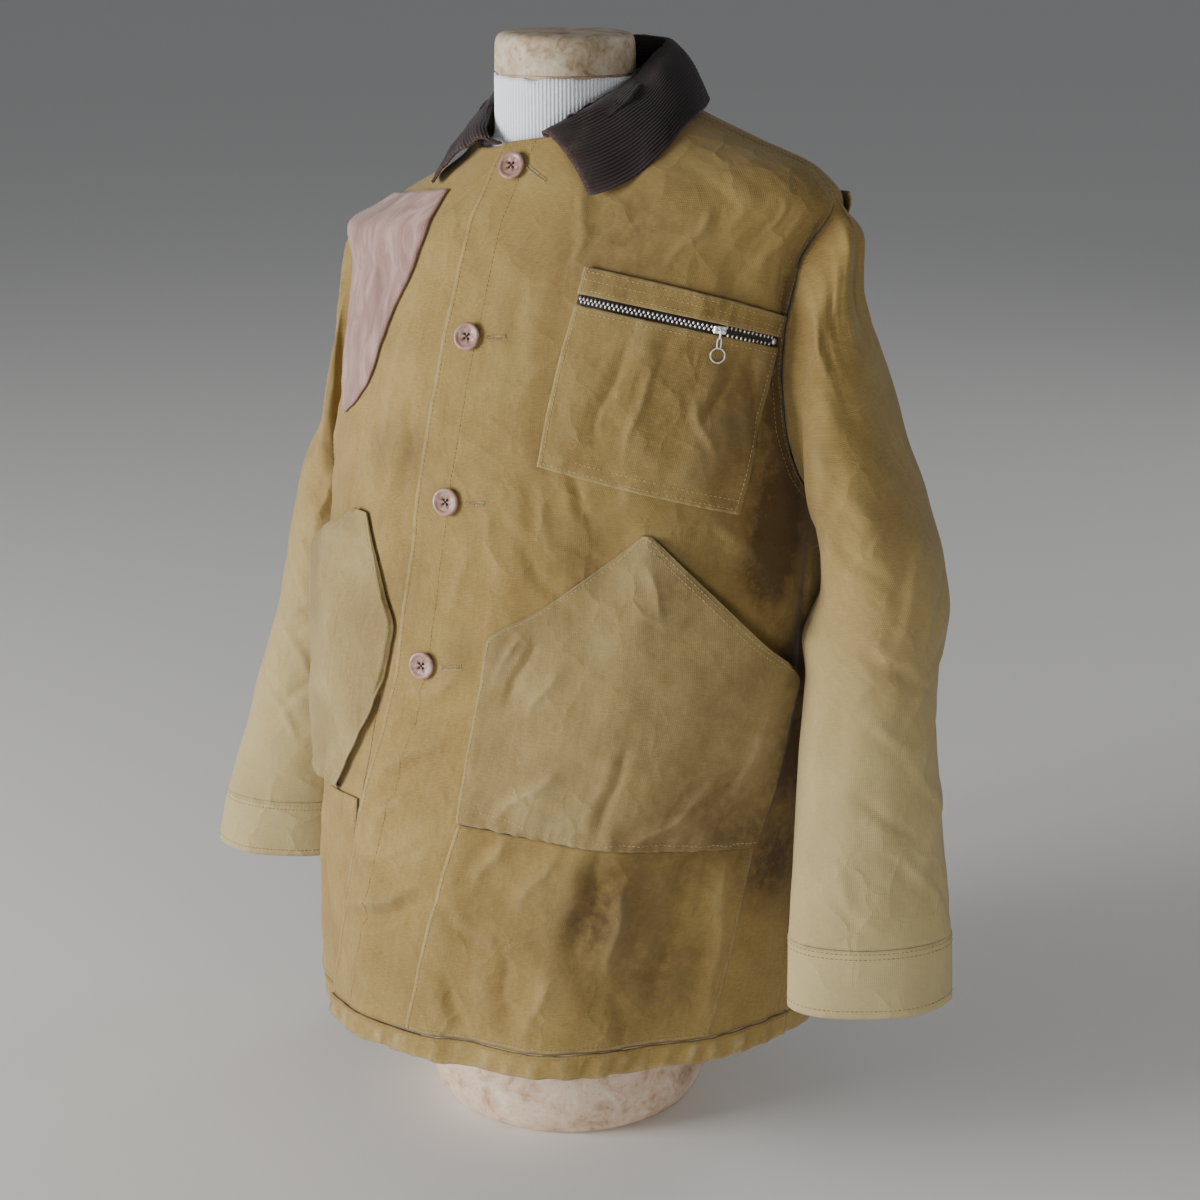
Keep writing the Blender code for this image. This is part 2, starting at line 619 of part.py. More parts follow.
# ---------------------------------------------------------------- pieces that lie on the panels
def table_grid(table, names, heights, shares):
    """Angles and heights of a piece whose inner and outer edges stand in a table."""
    inner = follow(table, names, "inner", heights)
    outer = follow(table, names, "outer", heights)
    return inner[:, None] + (outer - inner)[:, None] * shares[None, :], heights[:, None] + 0 * shares[None, :]


def build_patch(collection, suede):
    """The suede recoil patch on the wearer's right shoulder."""
    heights = np.array((0.602, 0.608, 0.618, 0.630, 0.645, 0.662, 0.680, 0.698, 0.715, 0.728, 0.740, 0.748, 0.756,
                        0.766, 0.778, 0.790))
    angles, levels = table_grid(PATCH, PATCH_COLUMNS, heights, np.linspace(1.0, 0.0, 12))
    add_sheet("recoil_patch", body_point(angles, levels, SUEDE + LAY_GAP * 1.3), SUEDE, collection, suede)


def corner_grid(top, bottom, rows, cols):
    """Angles and heights between a lower and an upper edge, each given by its two ends."""
    up = np.linspace(0.0, 1.0, rows)[:, None]
    across = np.linspace(0.0, 1.0, cols)[None, :]
    low = [bottom[0][k] + (bottom[1][k] - bottom[0][k]) * across for k in (0, 1)]
    high = [top[0][k] + (top[1][k] - top[0][k]) * across for k in (0, 1)]
    return [low[k] + (high[k] - low[k]) * up for k in (0, 1)]


def drop_edge(edge, fall):
    """An edge moved down by a distance."""
    return tuple((angle, height - fall) for angle, height in edge)


def build_chest_pocket(collection, duck, tape):
    """The band above the zip, the bag below it, and the zip's tape behind the opening."""
    stand = LAY_GAP + DUCK
    angles, levels = corner_grid(CHEST_TOP, CHEST_ZIP, 3, 13)
    add_sheet("chest_pocket_top", body_point(angles, levels, stand + 0.0016), DUCK, collection, duck)
    angles, levels = corner_grid(drop_edge(CHEST_ZIP, ZIP_GAP), CHEST_BOTTOM, 8, 13)
    up = np.linspace(0.0, 1.0, 8)[:, None]
    swell = 0.0030 * (1 - up) + 0.0016
    add_sheet("chest_pocket_bag", body_point(angles, levels, stand + swell), DUCK, collection, duck)
    inset = [(angle, height - 0.0006) for angle, height in CHEST_ZIP]
    angles, levels = corner_grid(inset, drop_edge(CHEST_ZIP, ZIP_GAP - 0.0006), 2, 13)
    add_sheet("zip_tape", body_point(angles, levels, LAY_GAP + TAPE), TAPE, collection, tape)


def pocket_grid(side, rows, cols):
    """Angles, heights and shares of a lower pocket, from its bottom edge to its peak."""
    up = np.sort(np.concatenate([np.linspace(0.0, 1.0, rows), [0.015]]))
    across = np.sort(np.concatenate([np.linspace(0.0, 1.0, cols), [0.012, 0.988]]))
    edge = {name: follow(LOWER_POCKETS[side], POCKET_COLUMNS, name, up)[:, None] for name in POCKET_COLUMNS[1:]}
    angles = edge["inner_angle"] + (edge["outer_angle"] - edge["inner_angle"]) * across
    levels = edge["inner_height"] + (edge["outer_height"] - edge["inner_height"]) * across
    return angles, levels, up[:, None] + 0 * across, across + 0 * up[:, None]


def pocket_stand(up, across, torn):
    """How far the pocket's face stands off the front: sewn edges return to it, the mouth gapes."""
    sewn_left = np.maximum(smooth(across, 0.0, 0.012), torn * (1 - smooth(up, 0.30, 0.42)))
    sewn_bottom = smooth(up, 0.0, 0.015)
    mouth = smooth(up, 0.58, 0.70)
    sewn_right = np.maximum(smooth(1 - across, 0.0, 0.012), mouth)
    belly = 0.35 + 0.65 * smooth(across, 0.0, 0.55)
    peak = 1 - 0.75 * smooth(up, 0.70, 1.0)
    gape = MOUTH_GAPE * smooth(across, 0.55, 1.0) * smooth(up, 0.45, 0.66) * (1 - smooth(up, 0.80, 1.0))
    return (POCKET_DEPTH * belly * peak + gape) * sewn_left * sewn_bottom * sewn_right


def build_lower_pockets(collection, duck):
    """The two five-sided bellows pockets and the panels below them."""
    for side, sign in (("left", 1.0), ("right", -1.0)):
        angles, levels, up, across = pocket_grid(side, 9, 11)
        rise = lap_rise(angles, levels) if sign > 0 else 0.0
        out = LAY_GAP + DUCK + rise + pocket_stand(up, across, float(side == "right"))
        points = body_point(sign * angles, levels, out)
        add_sheet(f"lower_pocket_{side}", points if sign > 0 else points[:, ::-1], DUCK, collection, duck)
        heights = np.linspace(LOWER_PANEL[0][0], LOWER_PANEL[-1][0] - 0.0200, 6)
        shares = np.linspace(0.0, 1.0, 14)
        angles, levels = table_grid(LOWER_PANEL, PANEL_COLUMNS, heights, shares)
        levels = levels + 0.0100 * (1 - shares)[None, :]
        rise = lap_rise(angles, levels) if sign > 0 else 0.0
        points = body_point(sign * angles, levels, LAY_GAP + DUCK + rise)
        add_sheet(f"lower_panel_{side}", points if sign > 0 else points[:, ::-1], DUCK, collection, duck)


def build_pleats(collection, duck):
    """The folded pleat behind each armhole, open towards the sleeve."""
    heights = np.array([row[0] for row in BACK_PLEAT])
    heights = np.sort(np.concatenate([heights, (heights[1:] + heights[:-1]) / 2]))
    shares = np.linspace(0.0, 1.0, 5)
    for side, sign in (("left", 1.0), ("right", -1.0)):
        angles, levels = table_grid(BACK_PLEAT, PLEAT_COLUMNS, heights, shares)
        out = DUCK + LAY_GAP + 0.0035 * shares[None, :] + 0 * levels
        points = body_point(sign * angles, levels, out)
        add_sheet(f"back_pleat_{side}", points if sign < 0 else points[:, ::-1], DUCK, collection, duck)


# ---------------------------------------------------------------- buttons and zip
def surface_place(angle, height, out):
    """Matrix with local Z along the body's normal and local Y up the body."""
    point = body_point(angle, height, out)
    side = body_point(angle + 0.5, height, out) - body_point(angle - 0.5, height, out)
    up = body_point(angle, height + 0.002, out) - body_point(angle, height - 0.002, out)
    normal = Vector(np.cross(side, up)).normalized()
    along = Vector(side).normalized()
    rise = normal.cross(along)
    turn = Matrix((along, rise, normal)).transposed().to_4x4()
    return Matrix.Translation(Vector(point)) @ turn


def add_cutter(collection, radius, place):
    """A thin round cutter that the model doesn't show."""
    bpy.ops.mesh.primitive_cylinder_add(vertices=6, radius=radius, depth=0.02)
    cutter = bpy.context.object
    cutter.matrix_world = place
    cutter.hide_render = True
    cutter.display_type = "WIRE"
    for holder in list(cutter.users_collection):
        holder.objects.unlink(cutter)
    collection.objects.link(cutter)
    return cutter


def build_buttons(collection, cutters, horn):
    """Four buttons with a raised rim and four holes."""
    radius, thick = BUTTON_DIAMETER / 2, BUTTON_THICKNESS
    profile = [(0.0, thick * 0.72), (radius * 0.66, thick * 0.72), (radius * 0.76, thick), (radius * 0.92, thick),
               (radius, thick * 0.60), (radius * 0.88, 0.0), (0.0, 0.0)]
    for index, height in enumerate(BUTTON_HEIGHTS, start=1):
        button = apply_modifiers(add_turned(f"button_{index}", profile, 18, collection, horn))
        for hole in range(4):
            spin = math.radians(45 + 90 * hole)
            place = Matrix.Translation((BUTTON_HOLE_OFFSET * math.cos(spin), BUTTON_HOLE_OFFSET * math.sin(spin), 0.0))
            cut = button.modifiers.new(f"hole_{hole}", "BOOLEAN")
            cut.operation = "DIFFERENCE"
            cut.object = add_cutter(cutters, BUTTON_HOLE_RADIUS, place)
        apply_modifiers(button)
        button.matrix_world = surface_place(0.0, height, LAP_RISE + SEAM_GAP * 2)


def zip_place(share, out):
    """Matrix on the zip's line: local X along the zip, local Y up, local Z off the coat."""
    angle = CHEST_ZIP[0][0] + (CHEST_ZIP[1][0] - CHEST_ZIP[0][0]) * share
    height = CHEST_ZIP[0][1] + (CHEST_ZIP[1][1] - CHEST_ZIP[0][1]) * share - ZIP_GAP / 2
    run = math.radians(CHEST_ZIP[1][0] - CHEST_ZIP[0][0]) * BODY_RADIUS
    slope = math.atan2(CHEST_ZIP[1][1] - CHEST_ZIP[0][1], run)
    return surface_place(angle, height, out) @ Matrix.Rotation(slope, 4, "Z")


def add_wire(name, points, radius, closed, collection, material):
    """A round wire through points, as a mesh."""
    curve = bpy.data.curves.new(name, "CURVE")
    curve.dimensions = "3D"
    curve.bevel_depth = radius
    curve.bevel_resolution = 1
    curve.use_fill_caps = not closed
    spline = curve.splines.new("POLY")
    spline.points.add(len(points) - 1)
    for slot, point in zip(spline.points, points):
        slot.co = (*point, 1.0)
    spline.use_cyclic_u = closed
    obj = bpy.data.objects.new(name + "_wire", curve)
    collection.objects.link(obj)
    curve.materials.append(material)
    made = apply_modifiers(obj)
    made.name = name
    merged = bmesh.new()
    merged.from_mesh(made.data)
    bmesh.ops.remove_doubles(merged, verts=merged.verts, dist=0.00001)
    merged.to_mesh(made.data)
    merged.free()
    return made


def stadium(length, half_width, count):
    """A long loop: points of a stadium whose upper end is centred on the origin, along -Y."""
    points = []
    run = length - 2 * half_width
    for centre, start in ((0.0, 0.0), (-run, math.pi)):
        for step in range(count):
            turn = start + math.pi * step / (count - 1)
            points.append((half_width * math.cos(turn), centre + half_width * math.sin(turn)))
    return points


def join_solids(target, others):
    """Fuse other solids into the target."""
    for other in others:
        union = target.modifiers.new("join", "BOOLEAN")
        union.operation = "UNION"
        union.object = other
        apply_modifiers(target)
        bpy.data.objects.remove(other)
    return target


def build_zip(collection, steel):
    """The closed chain, the slider with its bridge, and the pull: two links and a ring on the bridge."""
    chain_top = LAY_GAP + TAPE + SEAM_GAP + CHAIN_THICK
    low = drop_edge(CHEST_ZIP, ZIP_GAP / 2 + CHAIN_WIDTH / 2)
    high = drop_edge(CHEST_ZIP, ZIP_GAP / 2 - CHAIN_WIDTH / 2)
    angles, levels = corner_grid(high, low, 2, 15)
    closed = slice(0, 10)
    add_sheet("zip_chain", body_point(angles[:, closed], levels[:, closed], chain_top), CHAIN_THICK, collection, steel)
    base = chain_top + SEAM_GAP * 2
    place = zip_place(SLIDER_SHARE, base)
    bpy.ops.mesh.primitive_cube_add(size=1.0)
    slider = bpy.context.object
    slider.name = "zip_slider"
    for holder in list(slider.users_collection):
        holder.objects.unlink(slider)
    collection.objects.link(slider)
    slider.data.transform(Matrix.Translation((0, 0, SLIDER[2] / 2)) @ Matrix.Diagonal((*SLIDER, 1.0)))
    slider.data.materials.append(steel)
    bevel = slider.modifiers.new("round", "BEVEL")
    bevel.width = 0.0006
    bevel.segments = 1
    apply_modifiers(slider)
    bar = SLIDER[2] + BRIDGE_RISE
    span = SLIDER[0] * 0.36
    arch = [(-span, 0, SLIDER[2] - 0.0006), (-span, 0, bar - 0.0006), (-span + 0.0006, 0, bar),
            (span - 0.0006, 0, bar), (span, 0, bar - 0.0006), (span, 0, SLIDER[2] - 0.0006)]
    join_solids(slider, [add_wire("bridge", arch, PULL_WIRE, False, collection, steel)])
    slider.matrix_world = place
    link = stadium(PULL_LINK, PULL_LOOP, 6)
    first = add_wire("zip_pull", [(0.0, y, x) for x, y in link], PULL_WIRE, True, collection, steel)
    reach = PULL_LINK - PULL_LOOP * 2
    step = reach + PULL_LOOP * 2 - PULL_WIRE * 1.8
    second = add_wire("link", [(x, y - step, 0.0) for x, y in link], PULL_WIRE, True, collection, steel)
    ring_top = -step - reach - PULL_LOOP + PULL_WIRE * 0.4
    turns = np.linspace(0.0, 2 * math.pi, 20, endpoint=False)
    circle = [(PULL_RING * math.sin(a), ring_top - PULL_RING + PULL_RING * math.cos(a), 0.0) for a in turns]
    ring = add_wire("ring", circle, PULL_WIRE, True, collection, steel)
    join_solids(first, [second, ring])
    first.matrix_world = place @ Matrix.Translation((0.0, 0.0, bar))


# ---------------------------------------------------------------- dress form
def form_point(around, height, out=0.0):
    """Point on the dress form at an angle in radians and a height, moved out sideways."""
    side = follow(FORM_RINGS, FORM_COLUMNS, "side", height) + out
    front = follow(FORM_RINGS, FORM_COLUMNS, "front", height) + out
    back = follow(FORM_RINGS, FORM_COLUMNS, "back", height) + out
    reach = np.where(np.cos(around) >= 0, front, back)
    x = side * np.sin(around)
    lean = FORM_LEAN * smooth(height, 0.60, 0.74) * (1 - smooth(height, 0.800, 0.832))
    return np.stack([x, -reach * np.cos(around), height + lean * x], -1)


def build_form(collection, mache, knit, wood):
    """The limbless form: torso with its flat foot, knitted neck cover and round cap."""
    heights = np.concatenate([[0.003, 0.012, 0.030, 0.070], np.linspace(0.13, 0.70, 7),
                              [0.730, 0.752, 0.772, 0.790, 0.807, 0.818, 0.824, 0.8690]])
    around = np.radians(np.linspace(0.0, 360.0, 24, endpoint=False))
    count = len(around)
    built = bmesh.new()
    foot = [(FOOT_FLAT_RADIUS * math.sin(a), -FOOT_FLAT_RADIUS * math.cos(a), 0.0) for a in around]
    levels = [foot] + [form_point(around, np.full(count, height)) for height in heights]
    rings = [[built.verts.new(point) for point in level] for level in levels]
    for low, high in zip(rings, rings[1:]):
        for c in range(count):
            d = (c + 1) % count
            built.faces.new((low[c], low[d], high[d], high[c]))
    built.faces.new(rings[0][::-1])
    built.faces.new(rings[-1])
    mesh = bpy.data.meshes.new("form_torso")
    built.to_mesh(mesh)
    built.free()
    mesh.shade_smooth()
    add_mesh("form_torso", mesh, collection, mache)
    cover = [form_point(around, np.full(count, height), KNIT + SEAM_GAP * 2)
             for height in (KNIT_BOTTOM, 0.832, 0.850, 0.8680)]
    add_sheet("form_neck_cover", np.array(cover), KNIT, collection, knit, wrap=True)
    cap = [(0.0, CAP_TOP), (0.0440, CAP_TOP - 0.0006), (0.0505, CAP_TOP - 0.0022), (0.0537, CAP_TOP - 0.0058),
           (0.0547, CAP_TOP - 0.0120), (0.0550, CAP_BOTTOM), (0.0, CAP_BOTTOM)]
    add_turned("form_cap", cap, 24, collection, wood)


def main():
    """Build every piece of the coat and of its form."""
    remove_all()
    coat = new_collection("field_coat")
    cutters = new_collection("cutters")
    duck = new_material("duck", (0.30, 0.20, 0.07), 0.85)
    corduroy = new_material("corduroy", (0.035, 0.018, 0.016), 0.90)
    suede = new_material("suede", (0.36, 0.22, 0.19), 0.90)
    tape = new_material("zip_tape", (0.03, 0.025, 0.02), 0.80)
    horn = new_material("button", (0.48, 0.32, 0.25), 0.35)
    steel = new_material("zip_steel", (0.55, 0.55, 0.57), 0.35, 1.0)
    mache = new_material("papier_mache", (0.50, 0.38, 0.28), 0.60)
    knit = new_material("knit", (0.75, 0.76, 0.80), 0.90)
    wood = new_material("cap", (0.52, 0.42, 0.30), 0.55)
    build_fronts(coat, duck)
    build_back(coat, duck)
    build_hems(coat, duck)
    build_sleeves(coat, duck)
    build_collar(coat, corduroy)
    build_patch(coat, suede)
    build_chest_pocket(coat, duck, tape)
    build_lower_pockets(coat, duck)
    build_pleats(coat, duck)
    build_buttons(coat, cutters, horn)
    build_zip(coat, steel)
    build_form(coat, mache, knit, wood)


main()
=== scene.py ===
"""Looks of a canvas field coat on a limbless dress form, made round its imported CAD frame.

Every sewn piece stands for the CAD node of its name: the same cloth surface is drawn again on a finer grid,
with its creases, puckers, wear and stitching. Metres, +Z up; the wearer's front faces -Y, their left is +X.
"""

import logging
import math
from dataclasses import dataclass, field
from enum import Enum
from typing import Any, Callable, Optional, Sequence

import bmesh
import bpy
import numpy as np
from mathutils import Matrix, Vector

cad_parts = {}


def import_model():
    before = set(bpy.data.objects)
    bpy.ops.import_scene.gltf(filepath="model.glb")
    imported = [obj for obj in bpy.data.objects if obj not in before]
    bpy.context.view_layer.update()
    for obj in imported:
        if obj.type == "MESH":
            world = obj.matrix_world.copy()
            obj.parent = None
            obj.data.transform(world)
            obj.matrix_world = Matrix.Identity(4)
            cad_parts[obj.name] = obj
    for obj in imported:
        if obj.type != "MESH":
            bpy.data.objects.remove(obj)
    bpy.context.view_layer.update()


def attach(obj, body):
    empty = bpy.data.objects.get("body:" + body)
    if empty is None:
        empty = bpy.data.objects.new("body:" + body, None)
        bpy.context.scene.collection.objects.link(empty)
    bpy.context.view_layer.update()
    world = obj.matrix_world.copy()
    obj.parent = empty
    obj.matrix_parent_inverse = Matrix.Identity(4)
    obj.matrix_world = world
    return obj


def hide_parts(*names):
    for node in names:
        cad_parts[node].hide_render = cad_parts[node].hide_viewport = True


LOG = logging.getLogger("field_coat")
Array = np.ndarray
Row = tuple[float, ...]
Tree = bpy.types.NodeTree
Socket = bpy.types.NodeSocket
Node = bpy.types.Node
Material = bpy.types.Material
Mesh = bpy.types.Mesh
Piece = bpy.types.Object

# ---------------------------------------------------------------- driving sizes
DUCK = 0.0015       # wall of the duck cloth
TURNED = 0.0026     # wall where an edge is turned in and sewn
SUEDE = 0.0013
CORDUROY = 0.002
SEAM_GAP = 0.0003   # between pieces that are sewn together
LAY_GAP = 0.0011    # under a piece that lies on a panel, with room for its facets
LAP_RISE = 0.0036   # the lapping front lies this far above the other one
BODY_RADIUS = 0.22  # turns a distance round the body into an angle
DEGREE = math.radians(1.0) * BODY_RADIUS

HEM_BOTTOM = 0.099  # height of the coat's lower edge, before the coat's lean
HEM_BAND = 0.02
NECK_TOP = 0.85
NECK_DROP = 0.03    # the neckline is this much lower at the centre front
SIDE_SEAM = 99.0    # degrees from the centre front
UNDERLAP = 12.0     # the under front reaches this far past the buttons, in degrees

BUTTON_DIAMETER = 0.022
BUTTON_THICKNESS = 0.0034
BUTTON_HOLE_RADIUS = 0.001
BUTTON_HOLE_OFFSET = 0.0024
BUTTON_HEIGHTS = (0.8, 0.678, 0.555, 0.428)

KNIT = 0.0018
CAP_BOTTOM = 0.8696
CAP_TOP = 0.9005
FOOT_FLAT_RADIUS = 0.104

# ---------------------------------------------------------------- tables
# Rings of the coat's body: half width to the wearer's left and right, reach to the front and the back,
# turn of the front about Z in degrees, and lift of the wearer's left side.
BODY_COLUMNS = ("height", "left", "right", "front", "back", "turn", "lift")
BODY_RINGS = (
    (0.07, 0.228, 0.216, 0.196, 0.178, -14.0, 0.018),
    (0.25, 0.233, 0.219, 0.191, 0.17, -8.0, 0.014),
    (0.43, 0.235, 0.222, 0.172, 0.158, -1.0, 0.01),
    (0.55, 0.227, 0.218, 0.15, 0.145, 1.0, 0.01),
    (0.66, 0.216, 0.208, 0.126, 0.128, 1.0, 0.012),
    (0.72, 0.224, 0.205, 0.106, 0.117, 1.5, 0.02),
    (0.76, 0.247, 0.216, 0.09, 0.106, 2.2, 0.027),
    (0.78, 0.226, 0.185, 0.08, 0.1, 2.7, 0.029),
    (0.802, 0.168, 0.138, 0.07, 0.094, 3.0, 0.026),
    (0.825, 0.117, 0.085, 0.06, 0.088, 3.0, 0.019),
    (0.85, 0.078, 0.071, 0.058, 0.082, 3.0, 0.01),
)

# Armhole edges of the fronts and of the back, in degrees from the centre front.
ARMHOLE_COLUMNS = ("height", "front", "back")
ARMHOLE = (
    (0.545, 99.0, 99.0),
    (0.556, 93.0, 107.0),
    (0.575, 87.5, 113.0),
    (0.61, 83.5, 117.0),
    (0.68, 83.0, 117.0),
    (0.73, 83.5, 112.0),
    (0.752, 86.0, 103.0),
    (0.766, 90.0, 90.0),
)

# The free edge of the lapping front, in degrees.
FREE_EDGE_COLUMNS = ("height", "angle")
FREE_EDGE = (
    (0.07, -22.0),
    (0.2, -15.5),
    (0.33, -10.5),
    (0.43, -8.0),
    (0.55, -9.0),
    (0.68, -7.6),
    (0.85, -9.5),
)

# The largest folds of the body: a soft ridge (or trough, where the depth is negative) from a start to
# an end, each an angle and a height, with its width in metres.
FOLD_COLUMNS = ("start_angle", "start_height", "end_angle", "end_height", "width", "depth")
FOLDS = (
    (42.0, 0.775, 26.0, 0.7, 0.03, 0.005),
    (60.0, 0.76, 62.0, 0.7, 0.026, -0.003),
    (34.0, 0.56, 36.0, 0.44, 0.034, -0.0045),
    (26.0, 0.3, 22.0, 0.09, 0.036, -0.004),
    (44.0, 0.3, 42.0, 0.08, 0.038, 0.006),
    (62.0, 0.3, 64.0, 0.08, 0.036, -0.005),
    (-28.0, 0.3, -34.0, 0.08, 0.036, 0.005),
    (-50.0, 0.33, -54.0, 0.08, 0.04, -0.005),
    (106.0, 0.48, 108.0, 0.09, 0.04, 0.006),
    (126.0, 0.48, 128.0, 0.08, 0.04, -0.006),
    (148.0, 0.62, 150.0, 0.08, 0.042, 0.007),
    (172.0, 0.66, 170.0, 0.08, 0.042, -0.006),
    (-106.0, 0.48, -108.0, 0.09, 0.04, 0.006),
    (-128.0, 0.5, -130.0, 0.08, 0.04, -0.006),
    (-152.0, 0.64, -148.0, 0.08, 0.042, 0.007),
)

# Sleeve sections, shoulder to cuff seam. The share is how much of the armhole's own shape is left. Each
# section is an oval with an outward and a forward half width; the tilt turns it from level (0) towards
# upright, and the turn swings its outward axis to the back. The right sleeve hangs lower.
SLEEVE_COLUMNS = ("share", "x", "y", "z", "tilt", "turn", "outward", "forward")
SLEEVE_SECTIONS = {
    "left": (
        (0.72, 0.24, 0.018, 0.65, 83.0, 6.0, 0.098, 0.052),
        (0.36, 0.243, 0.018, 0.63, 82.0, 8.0, 0.084, 0.055),
        (0.1, 0.256, 0.022, 0.599, 76.0, 10.0, 0.068, 0.062),
        (0.0, 0.268, 0.023, 0.563, 62.0, 15.0, 0.057, 0.066),
        (0.0, 0.279, 0.02, 0.532, 44.0, 20.0, 0.053, 0.067),
        (0.0, 0.288, 0.011, 0.504, 27.0, 29.0, 0.055, 0.064),
        (0.0, 0.2935, 0.002, 0.474, 12.0, 35.0, 0.056, 0.059),
        (0.0, 0.2965, -0.006, 0.436, 4.0, 38.0, 0.05, 0.05),
        (0.0, 0.3005, -0.014, 0.387, 2.0, 38.0, 0.052, 0.045),
        (0.0, 0.3065, -0.02, 0.335, 2.0, 38.0, 0.0555, 0.041),
        (0.0, 0.3145, -0.029, 0.284, 2.0, 38.0, 0.059, 0.036),
        (0.0, 0.3205, -0.035, 0.24, 2.0, 38.0, 0.0625, 0.032),
    ),
    "right": (
        (0.72, 0.229, 0.018, 0.618, 87.0, 0.0, 0.084, 0.052),
        (0.36, 0.233, 0.02, 0.594, 85.0, 0.0, 0.068, 0.055),
        (0.1, 0.24, 0.024, 0.565, 78.0, 0.0, 0.053, 0.058),
        (0.0, 0.248, 0.03, 0.534, 62.0, 0.0, 0.042, 0.061),
        (0.0, 0.263, 0.036, 0.504, 34.0, 0.0, 0.042, 0.063),
        (0.0, 0.278, 0.036, 0.46, 12.0, -8.0, 0.047, 0.06),
        (0.0, 0.29, 0.034, 0.415, 6.0, -14.0, 0.048, 0.055),
        (0.0, 0.3, 0.029, 0.37, 5.0, -20.0, 0.048, 0.05),
        (0.0, 0.313, 0.017, 0.303, 4.0, -26.0, 0.051, 0.044),
        (0.0, 0.318, 0.002, 0.24, 3.0, -30.0, 0.056, 0.037),
        (0.0, 0.322, -0.01, 0.193, 2.0, -32.0, 0.06, 0.033),
    ),
}
CUFF_LENGTH = 0.052
CUFF_DRIFT = (0.006, -0.008)  # how far the cuff's lower edge lies outward and back of its upper edge

# The collar on each side, from its front end (share 0) to the centre back (share 1): the neck seam's
# angle, the roll line and the leaf's outer edge.
COLLAR_COLUMNS = ("share", "seam", "roll_x", "roll_y", "roll_z", "edge_x", "edge_y", "edge_z")
COLLARS = {
    "left": (
        (0.0, 10.0, 0.03, -0.068, 0.829, 0.088, -0.086, 0.79),
        (0.07, 20.0, 0.0395, -0.06, 0.836, 0.102, -0.08, 0.7945),
        (0.16, 36.0, 0.0495, -0.045, 0.845, 0.114, -0.07, 0.802),
        (0.38, 78.0, 0.0617, 0.0, 0.865, 0.1312, -0.04, 0.829),
        (0.55, 108.0, 0.065, 0.03, 0.884, 0.129, -0.003, 0.846),
        (0.72, 138.0, 0.056, 0.056, 0.892, 0.1, 0.05, 0.853),
        (1.0, 180.0, 0.0, 0.076, 0.8915, 0.0, 0.1, 0.845),
    ),
    "right": (
        (0.0, 12.0, 0.024, -0.064, 0.821, 0.079, -0.07, 0.785),
        (0.07, 20.0, 0.033, -0.057, 0.8265, 0.084, -0.062, 0.786),
        (0.16, 36.0, 0.041, -0.045, 0.833, 0.089, -0.048, 0.793),
        (0.38, 78.0, 0.057, -0.005, 0.85, 0.082, -0.01, 0.82),
        (0.55, 108.0, 0.06, 0.028, 0.87, 0.084, 0.016, 0.83),
        (0.72, 138.0, 0.053, 0.056, 0.884, 0.076, 0.056, 0.84),
        (1.0, 180.0, 0.0, 0.076, 0.8915, 0.0, 0.1, 0.845),
    ),
}
LEAF_CROWN = 0.0045
SEAM_RISE = 0.0026  # from the neckline up to the collar's own wall

# Recoil patch on the wearer's right front: its inner and outer edges, in degrees.
PATCH_COLUMNS = ("height", "inner", "outer")
PATCH = (
    (0.602, -46.0, -48.5),
    (0.616, -38.5, -52.0),
    (0.64, -32.0, -58.0),
    (0.7, -26.5, -67.0),
    (0.735, -22.5, -74.0),
    (0.76, -21.0, -78.0),
    (0.79, -24.0, -74.0),
)

# Chest pocket: corners as (angle, height), read clockwise from the upper left.
CHEST_TOP = ((23.0, 0.729), (81.0, 0.689))
CHEST_ZIP = ((23.2, 0.7105), (79.0, 0.676))
CHEST_BOTTOM = ((19.8, 0.588), (65.0, 0.551))
ZIP_GAP = 0.0075     # the opening between the band and the bag
SLIDER_SHARE = 0.64  # how far along the zip the slider stands
TAPE = 0.001

# Lower pockets from the bottom edge to the peak: the edge towards the buttons and the edge towards the
# side, whose upper stretch is the slanted hand opening. The right pocket's lower inner corner is torn off.
POCKET_COLUMNS = ("share", "inner_angle", "inner_height", "outer_angle", "outer_height")
LOWER_POCKETS = {
    "left": (
        (0.0, 14.5, 0.308, 78.5, 0.283),
        (0.2, 14.0, 0.345, 81.0, 0.323),
        (0.42, 13.5, 0.398, 82.5, 0.372),
        (0.62, 13.5, 0.452, 82.5, 0.417),
        (0.75, 23.0, 0.481, 70.5, 0.455),
        (0.88, 33.0, 0.511, 58.0, 0.496),
        (1.0, 42.8, 0.5385, 44.8, 0.538),
    ),
    "right": (
        (0.0, 24.0, 0.302, 60.0, 0.296),
        (0.12, 18.5, 0.342, 68.0, 0.314),
        (0.28, 13.0, 0.384, 76.0, 0.346),
        (0.45, 11.0, 0.418, 80.0, 0.382),
        (0.6, 10.2, 0.448, 80.0, 0.417),
        (0.75, 14.5, 0.474, 68.0, 0.455),
        (0.88, 20.0, 0.505, 52.0, 0.496),
        (1.0, 26.0, 0.533, 30.0, 0.534),
    ),
}
POCKET_DEPTH = 0.011  # the bellows hold the pocket's face this far off the front
MOUTH_GAPE = 0.006    # and the hand opening stands this much further off

# Panel sewn on each front below the pocket: its inner and outer edges, in degrees from the centre front.
PANEL_COLUMNS = ("height", "inner", "outer")
LOWER_PANEL = (
    (0.128, 9.0, 76.0),
    (0.2, 11.5, 78.5),
    (0.3, 15.0, 80.0),
)

